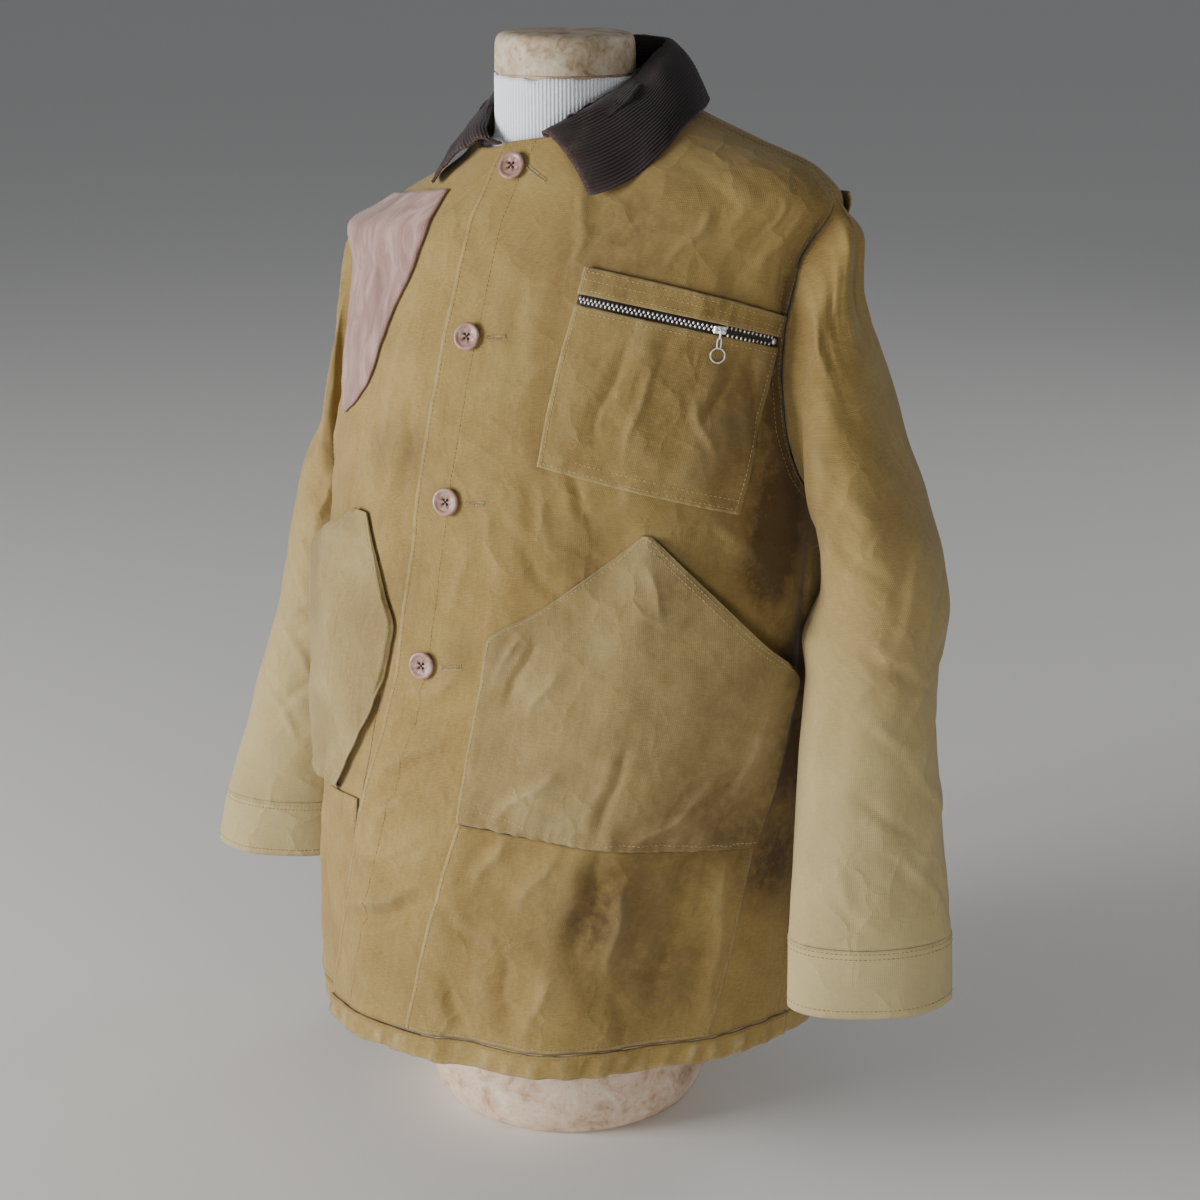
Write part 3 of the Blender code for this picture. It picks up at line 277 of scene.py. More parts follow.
# Dress form: rings of the torso from its flat foot to the neck.
FORM_COLUMNS = ("height", "side", "front", "back")
FORM_RINGS = (
    (0.003, 0.1115, 0.1115, 0.1115),
    (0.012, 0.1175, 0.1175, 0.1175),
    (0.03, 0.1215, 0.1215, 0.1215),
    (0.07, 0.121, 0.121, 0.121),
    (0.12, 0.13, 0.124, 0.126),
    (0.22, 0.156, 0.132, 0.14),
    (0.32, 0.162, 0.128, 0.136),
    (0.43, 0.148, 0.118, 0.118),
    (0.55, 0.16, 0.112, 0.108),
    (0.66, 0.178, 0.104, 0.104),
    (0.72, 0.184, 0.09, 0.1),
    (0.745, 0.184, 0.08, 0.096),
    (0.7685, 0.1715, 0.07, 0.09),
    (0.789, 0.1435, 0.06, 0.082),
    (0.807, 0.0985, 0.054, 0.069),
    (0.818, 0.06, 0.053, 0.056),
    (0.824, 0.053, 0.0526, 0.0528),
    (0.869, 0.0526, 0.0526, 0.0526),
)
FORM_FOOT_LEVELS = (0.003, 0.006, 0.012, 0.02, 0.03, 0.045, 0.07)  # rings of the smooth form round its foot
FORM_NECK_LEVELS = (0.84, 0.869)
FORM_LEAN = 0.135  # the shoulders tilt, the wearer's left one up
KNIT_BOTTOM = 0.81

PLEAT_COLUMNS = ("height", "inner", "outer")
BACK_PLEAT = (
    (0.56, 131.0, 118.5),
    (0.64, 131.0, 119.5),
    (0.7, 130.0, 118.0),
    (0.742, 124.0, 110.5),
    (0.764, 116.0, 101.0),
)

# Creases that only the cloth shows: start and end (degrees round the body, height), width and depth in
# metres (a trough where negative) and how far the line bows sideways.
BODY_CREASES: tuple[Row, ...] = (
    (17.0, 0.786, 21.5, 0.716, 0.006, 0.003, 0.003),
    (30.0, 0.775, 27.0, 0.715, 0.009, -0.0022, 0.002),
    (46.0, 0.765, 40.0, 0.728, 0.008, 0.002, 0.0),
    (70.0, 0.762, 64.0, 0.728, 0.007, -0.003, 0.004),
    (80.0, 0.745, 83.0, 0.69, 0.007, 0.003, 0.0),
    (74.0, 0.748, 78.0, 0.7, 0.006, -0.0026, 0.0),
    (10.0, 0.77, 13.0, 0.64, 0.011, -0.0014, 0.004),
    (38.0, 0.68, 31.0, 0.6, 0.007, -0.0024, 0.003),
    (44.0, 0.66, 38.0, 0.59, 0.005, 0.0018, 0.002),
    (53.0, 0.64, 60.0, 0.59, 0.005, 0.0016, 0.0),
    (66.0, 0.665, 55.0, 0.61, 0.006, -0.0018, 0.003),
    (70.0, 0.67, 72.0, 0.56, 0.008, -0.0026, 0.0),
    (26.0, 0.585, 32.0, 0.545, 0.006, -0.003, 0.002),
    (20.0, 0.58, 24.0, 0.52, 0.006, 0.0024, 0.003),
    (40.0, 0.57, 33.0, 0.548, 0.005, 0.002, 0.0),
    (14.0, 0.545, 30.0, 0.478, 0.0055, -0.0022, 0.004),
    (8.0, 0.56, 15.0, 0.5, 0.006, 0.002, 0.002),
    (7.0, 0.52, 3.0, 0.455, 0.006, 0.0018, 0.002),
    (60.0, 0.545, 78.0, 0.48, 0.008, 0.0026, -0.004),
    (-4.0, 0.4, 10.0, 0.428, 0.007, 0.0032, 0.003),
    (-5.0, 0.372, 9.0, 0.402, 0.006, -0.003, 0.003),
    (-7.0, 0.34, 9.0, 0.382, 0.007, 0.0034, 0.004),
    (-9.0, 0.31, 8.0, 0.34, 0.006, -0.0026, 0.002),
    (-12.0, 0.25, 11.0, 0.3, 0.005, 0.0022, 0.003),
    (-14.0, 0.196, 13.0, 0.24, 0.0055, -0.0046, 0.004),
    (-14.0, 0.212, 12.0, 0.256, 0.006, 0.0036, 0.004),
    (-12.0, 0.3, -5.0, 0.24, 0.007, 0.0026, 0.003),
    (2.0, 0.33, -8.0, 0.27, 0.007, 0.0026, 0.003),
    (-10.0, 0.168, 6.0, 0.14, 0.008, 0.003, 0.003),
    (26.0, 0.3, 20.0, 0.25, 0.007, 0.003, 0.002),
    (38.0, 0.298, 30.0, 0.236, 0.008, 0.0034, 0.003),
    (46.0, 0.292, 45.0, 0.19, 0.011, -0.0056, 0.004),
    (52.0, 0.27, 52.0, 0.18, 0.009, 0.0042, 0.003),
    (28.0, 0.215, 34.0, 0.14, 0.011, -0.004, 0.003),
    (40.0, 0.2, 37.0, 0.118, 0.01, 0.0034, 0.003),
    (17.0, 0.235, 30.0, 0.2, 0.006, 0.0026, 0.002),
    (66.0, 0.286, 62.0, 0.16, 0.01, -0.0042, 0.003),
    (74.0, 0.28, 76.0, 0.14, 0.009, 0.0036, 0.003),
    (16.0, 0.18, 24.0, 0.125, 0.007, -0.0028, 0.002),
    (54.0, 0.17, 58.0, 0.12, 0.007, -0.003, 0.002),
    (-20.0, 0.7, -24.0, 0.56, 0.01, 0.0022, 0.004),
    (-32.0, 0.6, -38.0, 0.5, 0.009, -0.0026, 0.003),
    (-15.0, 0.64, -13.0, 0.52, 0.009, -0.0018, 0.002),
    (-60.0, 0.6, -70.0, 0.48, 0.011, 0.0034, 0.004),
    (-30.0, 0.29, -26.0, 0.15, 0.009, -0.0036, 0.003),
    (-44.0, 0.29, -42.0, 0.13, 0.01, 0.0038, 0.003),
    (-72.0, 0.3, -76.0, 0.12, 0.011, 0.004, 0.003),
    (-88.0, 0.42, -92.0, 0.25, 0.01, -0.0036, 0.003),
    (92.0, 0.52, 88.0, 0.3, 0.012, -0.004, 0.004),
    (104.0, 0.54, 118.0, 0.45, 0.009, 0.0034, 0.004),
    (112.0, 0.42, 104.0, 0.3, 0.01, -0.0034, 0.003),
    (140.0, 0.7, 158.0, 0.64, 0.01, 0.003, 0.004),
    (136.0, 0.54, 160.0, 0.48, 0.009, -0.003, 0.005),
    (150.0, 0.44, 132.0, 0.36, 0.01, 0.0034, 0.004),
    (166.0, 0.56, 186.0, 0.52, 0.009, 0.003, 0.003),
    (178.0, 0.42, 160.0, 0.33, 0.01, -0.0034, 0.004),
    (196.0, 0.69, 214.0, 0.72, 0.01, -0.0026, 0.003),
    (200.0, 0.5, 222.0, 0.56, 0.01, 0.0032, 0.004),
    (206.0, 0.36, 226.0, 0.3, 0.009, 0.0032, 0.003),
    (236.0, 0.52, 250.0, 0.44, 0.009, -0.0032, 0.004),
    (232.0, 0.24, 240.0, 0.13, 0.01, 0.0036, 0.003),
    (174.0, 0.24, 168.0, 0.12, 0.011, -0.004, 0.003),
    (146.0, 0.23, 150.0, 0.12, 0.01, 0.0036, 0.003),
)

# Creases of a sleeve: start and end (share of the way round from the outward side over the front, metres
# down from the armhole), width, depth and bow.
SLEEVE_CREASES: dict[str, tuple[Row, ...]] = {
    "left": (
        (0.02, 0.004, 0.0, 0.085, 0.0045, -0.004, 0.001),
        (0.07, 0.004, 0.06, 0.09, 0.004, 0.0036, 0.001),
        (0.12, 0.004, 0.1, 0.08, 0.004, -0.004, 0.001),
        (0.17, 0.006, 0.14, 0.09, 0.004, 0.0036, 0.001),
        (-0.05, 0.006, -0.06, 0.09, 0.0045, 0.0034, 0.001),
        (0.04, 0.02, 0.02, 0.11, 0.009, 0.0022, 0.003),
        (0.14, 0.03, 0.1, 0.13, 0.008, -0.0024, 0.003),
        (0.26, 0.06, 0.16, 0.16, 0.008, 0.0028, 0.004),
        (0.3, 0.11, 0.18, 0.2, 0.006, -0.0026, 0.003),
        (0.06, 0.16, 0.22, 0.23, 0.0055, 0.0034, 0.003),
        (0.0, 0.19, 0.16, 0.25, 0.005, -0.003, 0.003),
        (0.3, 0.215, 0.14, 0.262, 0.006, 0.0034, -0.003),
        (0.24, 0.245, 0.06, 0.285, 0.005, -0.0032, -0.003),
        (0.02, 0.24, 0.2, 0.3, 0.0055, 0.0036, 0.004),
        (0.28, 0.285, 0.1, 0.33, 0.005, 0.003, -0.003),
        (-0.04, 0.28, 0.14, 0.345, 0.005, -0.0034, 0.003),
        (0.2, 0.31, 0.04, 0.372, 0.0055, 0.0034, -0.003),
        (0.3, 0.345, 0.12, 0.395, 0.005, -0.003, -0.003),
        (0.0, 0.35, 0.16, 0.41, 0.005, 0.003, 0.003),
        (0.22, 0.385, 0.08, 0.44, 0.005, 0.0032, -0.002),
        (0.1, 0.42, -0.04, 0.47, 0.005, -0.0028, 0.002),
        (0.34, 0.4, 0.22, 0.47, 0.006, 0.0026, 0.002),
        (0.44, 0.2, 0.4, 0.38, 0.008, 0.0024, 0.003),
        (0.56, 0.12, 0.62, 0.26, 0.007, -0.0024, 0.003),
        (0.7, 0.18, 0.86, 0.25, 0.007, 0.0034, 0.004),
        (0.72, 0.24, 0.88, 0.29, 0.006, -0.0032, 0.003),
        (0.9, 0.23, 0.76, 0.32, 0.007, 0.0034, 0.004),
        (0.8, 0.34, 0.92, 0.43, 0.007, 0.0028, 0.003),
    ),
    "right": (
        (0.04, 0.006, 0.02, 0.085, 0.0045, -0.004, 0.001),
        (0.13, 0.006, 0.1, 0.09, 0.004, 0.0036, 0.001),
        (0.1, 0.03, 0.06, 0.14, 0.009, 0.0024, 0.003),
        (0.24, 0.05, 0.14, 0.17, 0.008, -0.0024, 0.004),
        (0.34, 0.1, 0.24, 0.23, 0.008, 0.0028, 0.003),
        (0.1, 0.19, 0.3, 0.26, 0.006, 0.0034, 0.003),
        (0.06, 0.22, 0.26, 0.3, 0.005, -0.0032, 0.003),
        (0.34, 0.25, 0.16, 0.31, 0.006, 0.0034, -0.003),
        (0.3, 0.29, 0.12, 0.34, 0.005, -0.0032, -0.003),
        (0.12, 0.3, 0.32, 0.37, 0.0055, 0.0034, 0.003),
        (0.34, 0.34, 0.18, 0.4, 0.005, -0.003, -0.003),
        (0.14, 0.37, 0.28, 0.43, 0.005, 0.003, 0.003),
        (0.0, 0.26, -0.1, 0.34, 0.007, 0.003, 0.003),
        (0.5, 0.18, 0.56, 0.33, 0.007, -0.0026, 0.003),
        (0.7, 0.16, 0.84, 0.24, 0.007, 0.0032, 0.004),
        (0.9, 0.23, 0.74, 0.31, 0.007, -0.0032, 0.003),
        (0.76, 0.33, 0.9, 0.41, 0.007, 0.0028, 0.003),
    ),
}

# Marks darkened into the cloth: degrees round the body, height, radius in metres, strength. Some are real stains; the
# strong marks under the near arm are painted shade, and those at the upper chest, beside the chest pocket and on the
# lower front's right are partly painted shade.
STAINS_AND_SHADE: tuple[Row, ...] = (
    (26.0, 0.755, 0.06, 0.4), (45.0, 0.64, 0.13, 0.24), (32.0, 0.215, 0.11, 0.26), (74.0, 0.33, 0.13, 0.3),
    # Painted shade between the trunk and the near sleeve, here and in the three rows at 88 to 89 degrees below.
    (76.0, 0.508, 0.03, 1.6), (81.0, 0.55, 0.038, 1.6), (85.0, 0.62, 0.035, 1.5), (84.5, 0.67, 0.028, 1.4),
    (84.0, 0.705, 0.022, 1.3), (82.5, 0.735, 0.018, 1.0),
    (89.0, 0.43, 0.036, 1.5), (89.0, 0.35, 0.036, 1.3), (88.0, 0.26, 0.036, 1.0), (18.0, 0.6, 0.1, 0.12),
    (-14.0, 0.59, 0.022, 0.55), (-24.0, 0.585, 0.016, 0.4), (-9.0, 0.48, 0.03, 0.3),
    # Partly painted shade: at the upper chest, beside the chest pocket and on the shaded lower right of the front.
    (30.0, 0.75, 0.04, 0.2), (66.0, 0.62, 0.04, 0.55), (55.0, 0.54, 0.045, 0.35),
    (48.0, 0.24, 0.05, 0.6), (64.0, 0.17, 0.045, 0.5), (70.0, 0.3, 0.04, 0.45),
    (30.0, 0.52, 0.025, 0.3), (8.0, 0.44, 0.018, 0.45), (150.0, 0.42, 0.06, 0.35),
    (205.0, 0.3, 0.06, 0.35), (178.0, 0.7, 0.05, 0.3),
)

# Creases of the left pocket's face, with the columns of BODY_CREASES.
LEFT_POCKET_CREASES = (
    (20.5, 0.468, 14.8, 0.398, 0.004, 0.0052, 0.0), (17.0, 0.43, 16.4, 0.322, 0.005, -0.0044, 0.002),
    (14.8, 0.4, 17.6, 0.318, 0.0036, 0.0044, 0.001), (24.0, 0.462, 19.5, 0.405, 0.0044, -0.003, 0.001),
    (30.0, 0.44, 24.0, 0.395, 0.006, 0.0018, 0.002), (34.0, 0.36, 22.0, 0.312, 0.006, 0.003, 0.003),
    (46.0, 0.38, 44.0, 0.305, 0.006, -0.003, 0.003), (64.0, 0.34, 50.0, 0.3, 0.006, 0.0034, -0.003),
    (72.0, 0.36, 56.0, 0.318, 0.006, -0.0028, -0.003), (44.0, 0.52, 50.0, 0.47, 0.006, 0.0016, 0.001),
    (76.0, 0.4, 70.0, 0.33, 0.008, 0.0026, 0.003),
)

# The two sides, with the sign of x on each.
SIDES = (("left", 1.0), ("right", -1.0))

# A crease's line wavers: by a share of its width, with this wave along it and a start of its own. Across it
# stands a crest, and beside that a trough; widths and places are shares of the crease's width.
SWAY, SWAY_WAVE, SWAY_SHIFT = 0.3, 9.0, 3.1
CREST_WIDTH, CREST_POWER = 0.72, 1.25
TROUGH_DEPTH, TROUGH_AWAY, TROUGH_WIDTH = 0.34, 1.6, 0.9

# The turned profile of a button: shares of its radius and of its thickness, from the middle of the top to
# the middle of the back.
BUTTON_PROFILE = (
    (0.0, 0.7), (0.6, 0.72), (0.66, 0.76), (0.72, 0.92), (0.78, 1.0), (0.9, 1.0), (0.97, 0.88), (1.0, 0.62),
    (0.95, 0.25), (0.86, 0.0), (0.0, 0.0),
)


# ---------------------------------------------------------------- small mathematics
def column(table: Sequence[Row], names: Sequence[str], name: str) -> Array:
    """One named column of a table."""
    return np.array([row[names.index(name)] for row in table], float)


def monotone(x: Array, y: Array, where: Array) -> Array:
    """Values of a smooth curve through samples that never overshoots them.

    Args:
        x: Rising places of the samples.
        y: Samples, with any further axes behind the first.
        where: Places to read.

    Returns:
        One value (or row of values) for each place.
    """
    flat = y.reshape(len(x), -1)
    step = np.diff(x)[:, None]
    slope = np.diff(flat, axis=0) / step
    tangent = np.zeros_like(flat)
    tangent[0], tangent[-1] = slope[0], slope[-1]
    if len(x) > 2:
        before, after = slope[:-1], slope[1:]
        near, far = 2 * step[1:] + step[:-1], step[1:] + 2 * step[:-1]
        same = before * after > 0
        safe_before, safe_after = np.where(same, before, 1.0), np.where(same, after, 1.0)
        tangent[1:-1] = np.where(same, (near + far) / (near / safe_before + far / safe_after), 0.0)
    places = np.asarray(where, float)
    q = np.clip(places.ravel(), x[0], x[-1])
    k = np.clip(np.searchsorted(x, q) - 1, 0, len(x) - 2)
    run = step[k]
    t = ((q - x[k]) / run[:, 0])[:, None]
    read = (flat[k] * (1 + 2 * t) * (1 - t) ** 2 + run * tangent[k] * t * (1 - t) ** 2
            + flat[k + 1] * t * t * (3 - 2 * t) + run * tangent[k + 1] * t * t * (t - 1))
    return read.reshape(places.shape + y.shape[1:])


def follow(table: Sequence[Row], names: Sequence[str], name: str, where: Any) -> Array:
    """A named column of a table, read at places of its first column."""
    return monotone(column(table, names, names[0]), column(table, names, name), np.asarray(where, float))


def smooth(value: Any, low: float, high: float) -> Array:
    """0 below low, 1 above high, with a soft step between."""
    t = np.clip((np.asarray(value, float) - low) / (high - low), 0.0, 1.0)
    return t * t * (3 - 2 * t)


def even(count: int) -> Array:
    """Evenly spaced shares from 0 to 1."""
    return np.linspace(0.0, 1.0, count)


def between(inner: Array, outer: Array, shares: Array) -> Array:
    """Values at shares of the way from one edge to the other, with a row for each pair of edge values."""
    return inner[:, None] + (outer - inner)[:, None] * shares


def mirrored(grid: Array, sign: float) -> Array:
    """A grid as it is for a positive sign, and with its columns turned round for a negative one."""
    return grid if sign > 0 else grid[:, ::-1]


def metres_round(angle: Array) -> Array:
    """Distance round the body of an angle in degrees."""
    return np.radians(angle) * BODY_RADIUS


def degrees_from(angle: Any, start: float, turn: float = 360.0) -> Array:
    """The short way round from a start to each angle, negative to the wearer's right."""
    return (np.asarray(angle) - start + turn / 2) % turn - turn / 2


def unit(vectors: Array) -> Array:
    """Vectors scaled to length 1."""
    return vectors / np.maximum(np.linalg.norm(vectors, axis=-1, keepdims=True), 1e-12)


def ripple(u: Array, v: Array, size: float, seed: int) -> Array:
    """A soft uneven field of about -1 to 1 from a few crossing waves.

    Args:
        u: Places across, in metres.
        v: Places along, in metres.
        size: Typical distance from crest to crest, in metres.
        seed: Fixed seed of the waves.

    Returns:
        The field at each place.
    """
    random = np.random.default_rng(seed)
    total = np.zeros(np.broadcast(u, v).shape)
    for _ in range(9):
        heading, phase = random.uniform(0, math.pi), random.uniform(0, 2 * math.pi)
        wave = 2 * math.pi / (size * random.uniform(0.6, 1.7))
        total = total + np.sin(wave * (u * math.cos(heading) + v * math.sin(heading)) + phase)
    return total / 3.5


def crests(u: Array, v: Array, size: float, seed: int, low: float = 0) -> Array:
    """A ripple whose troughs are cut off at a lowest value, and its crests at 1."""
    return np.clip(ripple(u, v, size, seed), low, 1)


def crease_field(u: Array, v: Array, rows: Sequence[Row], metres: float, turn: Optional[float] = None) -> Array:
    """Depth of listed creases: each is a crest with a shallow trough beside it.

    Args:
        u: Places across, in the table's own unit.
        v: Places along, in metres.
        rows: Creases as (start u, start v, end u, end v, width, depth, bow).
        metres: Metres in one unit of u.
        turn: Units of u in a full turn, on a tube.

    Returns:
        Metres to move the cloth out.
    """
    total = np.zeros(np.broadcast(u, v).shape)
    for start_u, start_v, end_u, end_v, width, depth, bow in rows:
        away = degrees_from(u, start_u, turn) if turn else u - start_u
        x, y = away * metres, v - start_v
        run_x, run_y = (end_u - start_u) * metres, end_v - start_v
        length = math.hypot(run_x, run_y)
        along = (x * run_x + y * run_y) / length ** 2
        sway = SWAY * width * np.sin(along * SWAY_WAVE + start_u * SWAY_SHIFT)
        across = (x * run_y - y * run_x) / length - bow * 4 * along * (1 - along) + sway
        taper = smooth(along, -0.15, 0.28) * (1 - smooth(along, 0.62, 1.12))
        crest = np.exp(-np.abs(across / (CREST_WIDTH * width)) ** CREST_POWER)
        crest = crest - TROUGH_DEPTH * np.exp(-((across - TROUGH_AWAY * width) / (TROUGH_WIDTH * width)) ** 2)
        total = total + depth * taper * crest
    return total


def grid_normals(points: Array, wrap: bool = False) -> Array:
    """Outward normals of a grid whose rows run up and whose columns run towards the wearer's left."""
    if wrap:
        across = np.roll(points, -1, axis=1) - np.roll(points, 1, axis=1)
    else:
        across = np.gradient(points, axis=1)
    return unit(np.cross(across, np.gradient(points, axis=0)))


def resample(points: Array, count: int, axis: int) -> Array:
    """A grid drawn again with another number of rows or columns, on smooth curves through the old ones."""
    moved = np.moveaxis(points, axis, 0)
    chord = np.linalg.norm(np.diff(moved, axis=0), axis=-1).reshape(len(moved) - 1, -1).mean(axis=1)
    places = np.concatenate([[0.0], np.cumsum(chord)])
    return np.moveaxis(monotone(places, moved, np.linspace(0.0, places[-1], count)), 0, axis)


# ---------------------------------------------------------------- the coat's body surface
@dataclass(frozen=True)
class CoatBody:
    """The coat's trunk as one surface: an angle in degrees from the centre front, and a height."""

    crumple: float = 0.0006     # metres of soft unevenness all over
    crumple_size: float = 0.055
    calm_height: float = 0.775  # above this the collar lies on the cloth, and creases fade

    def base(self, angle: Array, height: Array) -> Array:
        """The smooth trunk without folds."""
        angle, height = np.broadcast_arrays(np.asarray(angle, float), np.asarray(height, float))
        ring = {name: follow(BODY_RINGS, BODY_COLUMNS, name, height) for name in BODY_COLUMNS[1:]}
        around = np.radians(angle + ring["turn"])
        side = np.where(np.sin(around) >= 0, ring["left"], ring["right"])
        reach = np.where(np.cos(around) >= 0, ring["front"], ring["back"])
        return np.stack([side * np.sin(around), -reach * np.cos(around), height + ring["lift"] * np.sin(around)], -1)

    def folds(self, angle: Array, height: Array) -> Array:
        """Depth of the large folds, which the CAD solids have too."""
        total = np.zeros(np.broadcast(angle, height).shape)
        for row in FOLDS:
            fold = dict(zip(FOLD_COLUMNS, row))
            u = degrees_from(angle, fold["start_angle"]) * DEGREE
            v = height - fold["start_height"]
            run_u = (fold["end_angle"] - fold["start_angle"]) * DEGREE
            run_v = fold["end_height"] - fold["start_height"]
            length = math.hypot(run_u, run_v)
            along, across = (u * run_u + v * run_v) / length ** 2, (u * run_v - v * run_u) / length
            taper = smooth(along, -0.25, 0.25) * (1 - smooth(along, 0.85, 1.25))
            total = total + fold["depth"] * taper * np.exp(-(across / fold["width"]) ** 2)
        return total

    def creases(self, angle: Array, height: Array) -> Array:
        """Depth of the small creases and of the cloth's unevenness; none goes in where the form is close."""
        depth = crease_field(angle, height, BODY_CREASES, DEGREE, 360.0)
        around = metres_round(angle)
        depth = depth + self.crumple * ripple(around, height, self.crumple_size, 5)
        depth = depth + 0.4 * self.crumple * ripple(around, height, self.crumple_size / 3, 11)
        depth = np.where(depth < 0, depth * (1 - smooth(height, 0.705, 0.745)), depth)
        near_arm = smooth(np.abs(degrees_from(angle, 0.0)), 84.0, 92.0) * smooth(height, 0.52, 0.58)
        return depth * (1 - 0.85 * smooth(height, self.calm_height, 0.8)) * (1 - 0.8 * near_arm)

    def point(self, angle: Any, height: Any, out: Any = 0.0) -> Array:
        """Points on the folded and creased trunk, moved out along its normal."""
        angle, height, out = np.broadcast_arrays(np.asarray(angle, float), np.asarray(height, float), out)
        turn, rise = 0.4, 0.0015
        across = self.base(angle + turn, height) - self.base(angle - turn, height)
        up = self.base(angle, height + rise) - self.base(angle, height - rise)
        away = out + self.folds(angle, height) + self.creases(angle, height)
        return self.base(angle, height) + unit(np.cross(across, up)) * away[..., None]


def lap_rise(angle: Array, height: Array) -> Array:
    """How far the lapping front stands off the under front: more below the last button."""
    flat = 1 - smooth(angle, UNDERLAP + 2.5, UNDERLAP + 10.0)
    loose = (1 - smooth(height, 0.3, 0.4)) * (1 - smooth(angle, -8.0, 6.0))
    return LAP_RISE * flat + 0.004 * loose


def neck_height(angle: Array, height: Array) -> Array:
    """Height of a panel row, bent down to the neckline near the centre front."""
    drop = NECK_DROP * (1 - smooth(np.abs(angle), 18.0, 88.0))
    return height - drop * smooth(height, 0.74, NECK_TOP)


def stains_and_shade_at(angle: Array, height: Array) -> Array:
    """Strength of the stains and of the painted shade at places of the trunk."""
    total = np.zeros(np.broadcast(angle, height).shape)
    for mark_angle, mark_height, radius, strength in STAINS_AND_SHADE:
        gone = np.hypot(degrees_from(angle, mark_angle) * DEGREE, height - mark_height) / radius
        total = total + strength * np.exp(-gone ** 2)
    return total


# ---------------------------------------------------------------- nodes and colours
BAND_SCALE = 0.3142  # the wave texture then repeats once in about one unit


def from_hex(code: str) -> tuple[float, float, float, float]:
    """Linear colour of an sRGB hex value."""
    parts = [int(code[i:i + 2], 16) / 255.0 for i in (1, 3, 5)]
    linear = [c / 12.92 if c <= 0.04045 else ((c + 0.055) / 1.055) ** 2.4 for c in parts]
    return (linear[0], linear[1], linear[2], 1.0)


def add_node(tree: Tree, kind: str, settings: Optional[dict[str, Any]] = None,
             inputs: Optional[dict[Any, Any]] = None) -> Node:
    """Adds a node with its settings and links.

    Args:
        tree: The node tree.
        kind: Blender's name of the node type.
        settings: Properties of the node.
        inputs: Values, or sockets to link from, by input name or number.

    Returns:
        The node.
    """
    made = tree.nodes.new(kind)
    for name, value in (settings or {}).items():
        setattr(made, name, value)
    for key, value in (inputs or {}).items():
        if isinstance(value, Socket):
            tree.links.new(value, made.inputs[key])
        else:
            made.inputs[key].default_value = value
    return made


def multiply(tree: Tree, first: Any, second: Any) -> Socket:
    """The product of two values."""
    return add_node(tree, "ShaderNodeMath", {"operation": "MULTIPLY"}, {0: first, 1: second}).outputs[0]


def shade_ramp(tree: Tree, factor: Socket,
               stops: Sequence[tuple[float, str]]) -> Socket:
    """A colour ramp through sRGB hex stops; returns its colour."""
    ramp = add_node(tree, "ShaderNodeValToRGB", inputs={"Fac": factor})
    elements = ramp.color_ramp.elements
    while len(elements) < len(stops):
        elements.new(0.5)
    for element, (place, code) in zip(elements, stops):
        element.position, element.color = place, from_hex(code)
    return ramp.outputs["Color"]


def new_shader(name: str, roughness: float, metallic: float = 0.0, ior: Optional[float] = 1.45,
               sheen: float = 0.0) -> tuple[Material, Tree, Node]:
    """A node material with a Principled shader set to a real material's values."""
    made = bpy.data.materials.new(name)
    made.use_nodes = True
    shader = made.node_tree.nodes["Principled BSDF"]
    shader.inputs["Roughness"].default_value = roughness
    shader.inputs["Metallic"].default_value = metallic
    if ior is not None:
        shader.inputs["IOR"].default_value = ior
    shader.inputs["Sheen Weight"].default_value = sheen
    shader.inputs["Sheen Roughness"].default_value = 0.5
    return made, made.node_tree, shader


def mix_colour(tree: Tree, factor: Any, first: Any, second: Any,
               blend: str = "MIX") -> Socket:
    """Two colours mixed; returns the result."""
    made = add_node(tree, "ShaderNodeMix", {"data_type": "RGBA", "blend_type": blend},
                    {0: factor, 6: first, 7: second})
    return made.outputs[2]


def spread_map(tree: Tree, source: Socket, low: float, high: float,
               to_low: float = 0.0, to_high: float = 1.0) -> Socket:
    """A value mapped from one range to another, and kept in it."""
    made = add_node(tree, "ShaderNodeMapRange", inputs={0: source, 1: low, 2: high, 3: to_low, 4: to_high})
    return made.outputs[0]


def attribute(tree: Tree, name: str) -> Socket:
    """A mesh attribute's value."""
    return add_node(tree, "ShaderNodeAttribute", {"attribute_name": name}).outputs["Fac"]


def cloth_coordinates(tree: Tree, across_mm: float, along_mm: float) -> Socket:
    """The cloth's own UV map, in metres, scaled so that one unit is a real size each way."""
    uv = add_node(tree, "ShaderNodeUVMap", {"uv_map": "cloth"})
    scaled = add_node(tree, "ShaderNodeMapping", inputs={
        "Vector": uv.outputs["UV"], "Scale": (1000.0 / across_mm, 1000.0 / along_mm, 1.0)})
    return scaled.outputs["Vector"]


def object_coordinates(tree: Tree, size_mm: float) -> Socket:
    """Object coordinates scaled so that one unit is a real size."""
    place = add_node(tree, "ShaderNodeTexCoord").outputs["Object"]
    scale = 1000.0 / size_mm
    return add_node(tree, "ShaderNodeMapping", inputs={"Vector": place, "Scale": (scale,) * 3}).outputs["Vector"]


def noise(tree: Tree, vector: Socket, detail: float = 4.0,
          roughness: float = 0.55, distortion: float = 0.0) -> Socket:
    """Noise of one feature a unit."""
    made = add_node(tree, "ShaderNodeTexNoise", inputs={
        "Vector": vector, "Scale": 1.0, "Detail": detail, "Roughness": roughness, "Distortion": distortion})
    return made.outputs["Fac"]


def raise_surface(tree: Tree, height: Socket, depth_mm: float, strength: float = 1.0,
                  below: Optional[Socket] = None) -> Socket:
    """A bump of a real depth, on top of another if given; returns the normal."""
    inputs: dict[Any, Any] = {"Height": height, "Distance": depth_mm / 1000.0, "Strength": strength}
    if below is not None:
        inputs["Normal"] = below
    return add_node(tree, "ShaderNodeBump", inputs=inputs).outputs["Normal"]


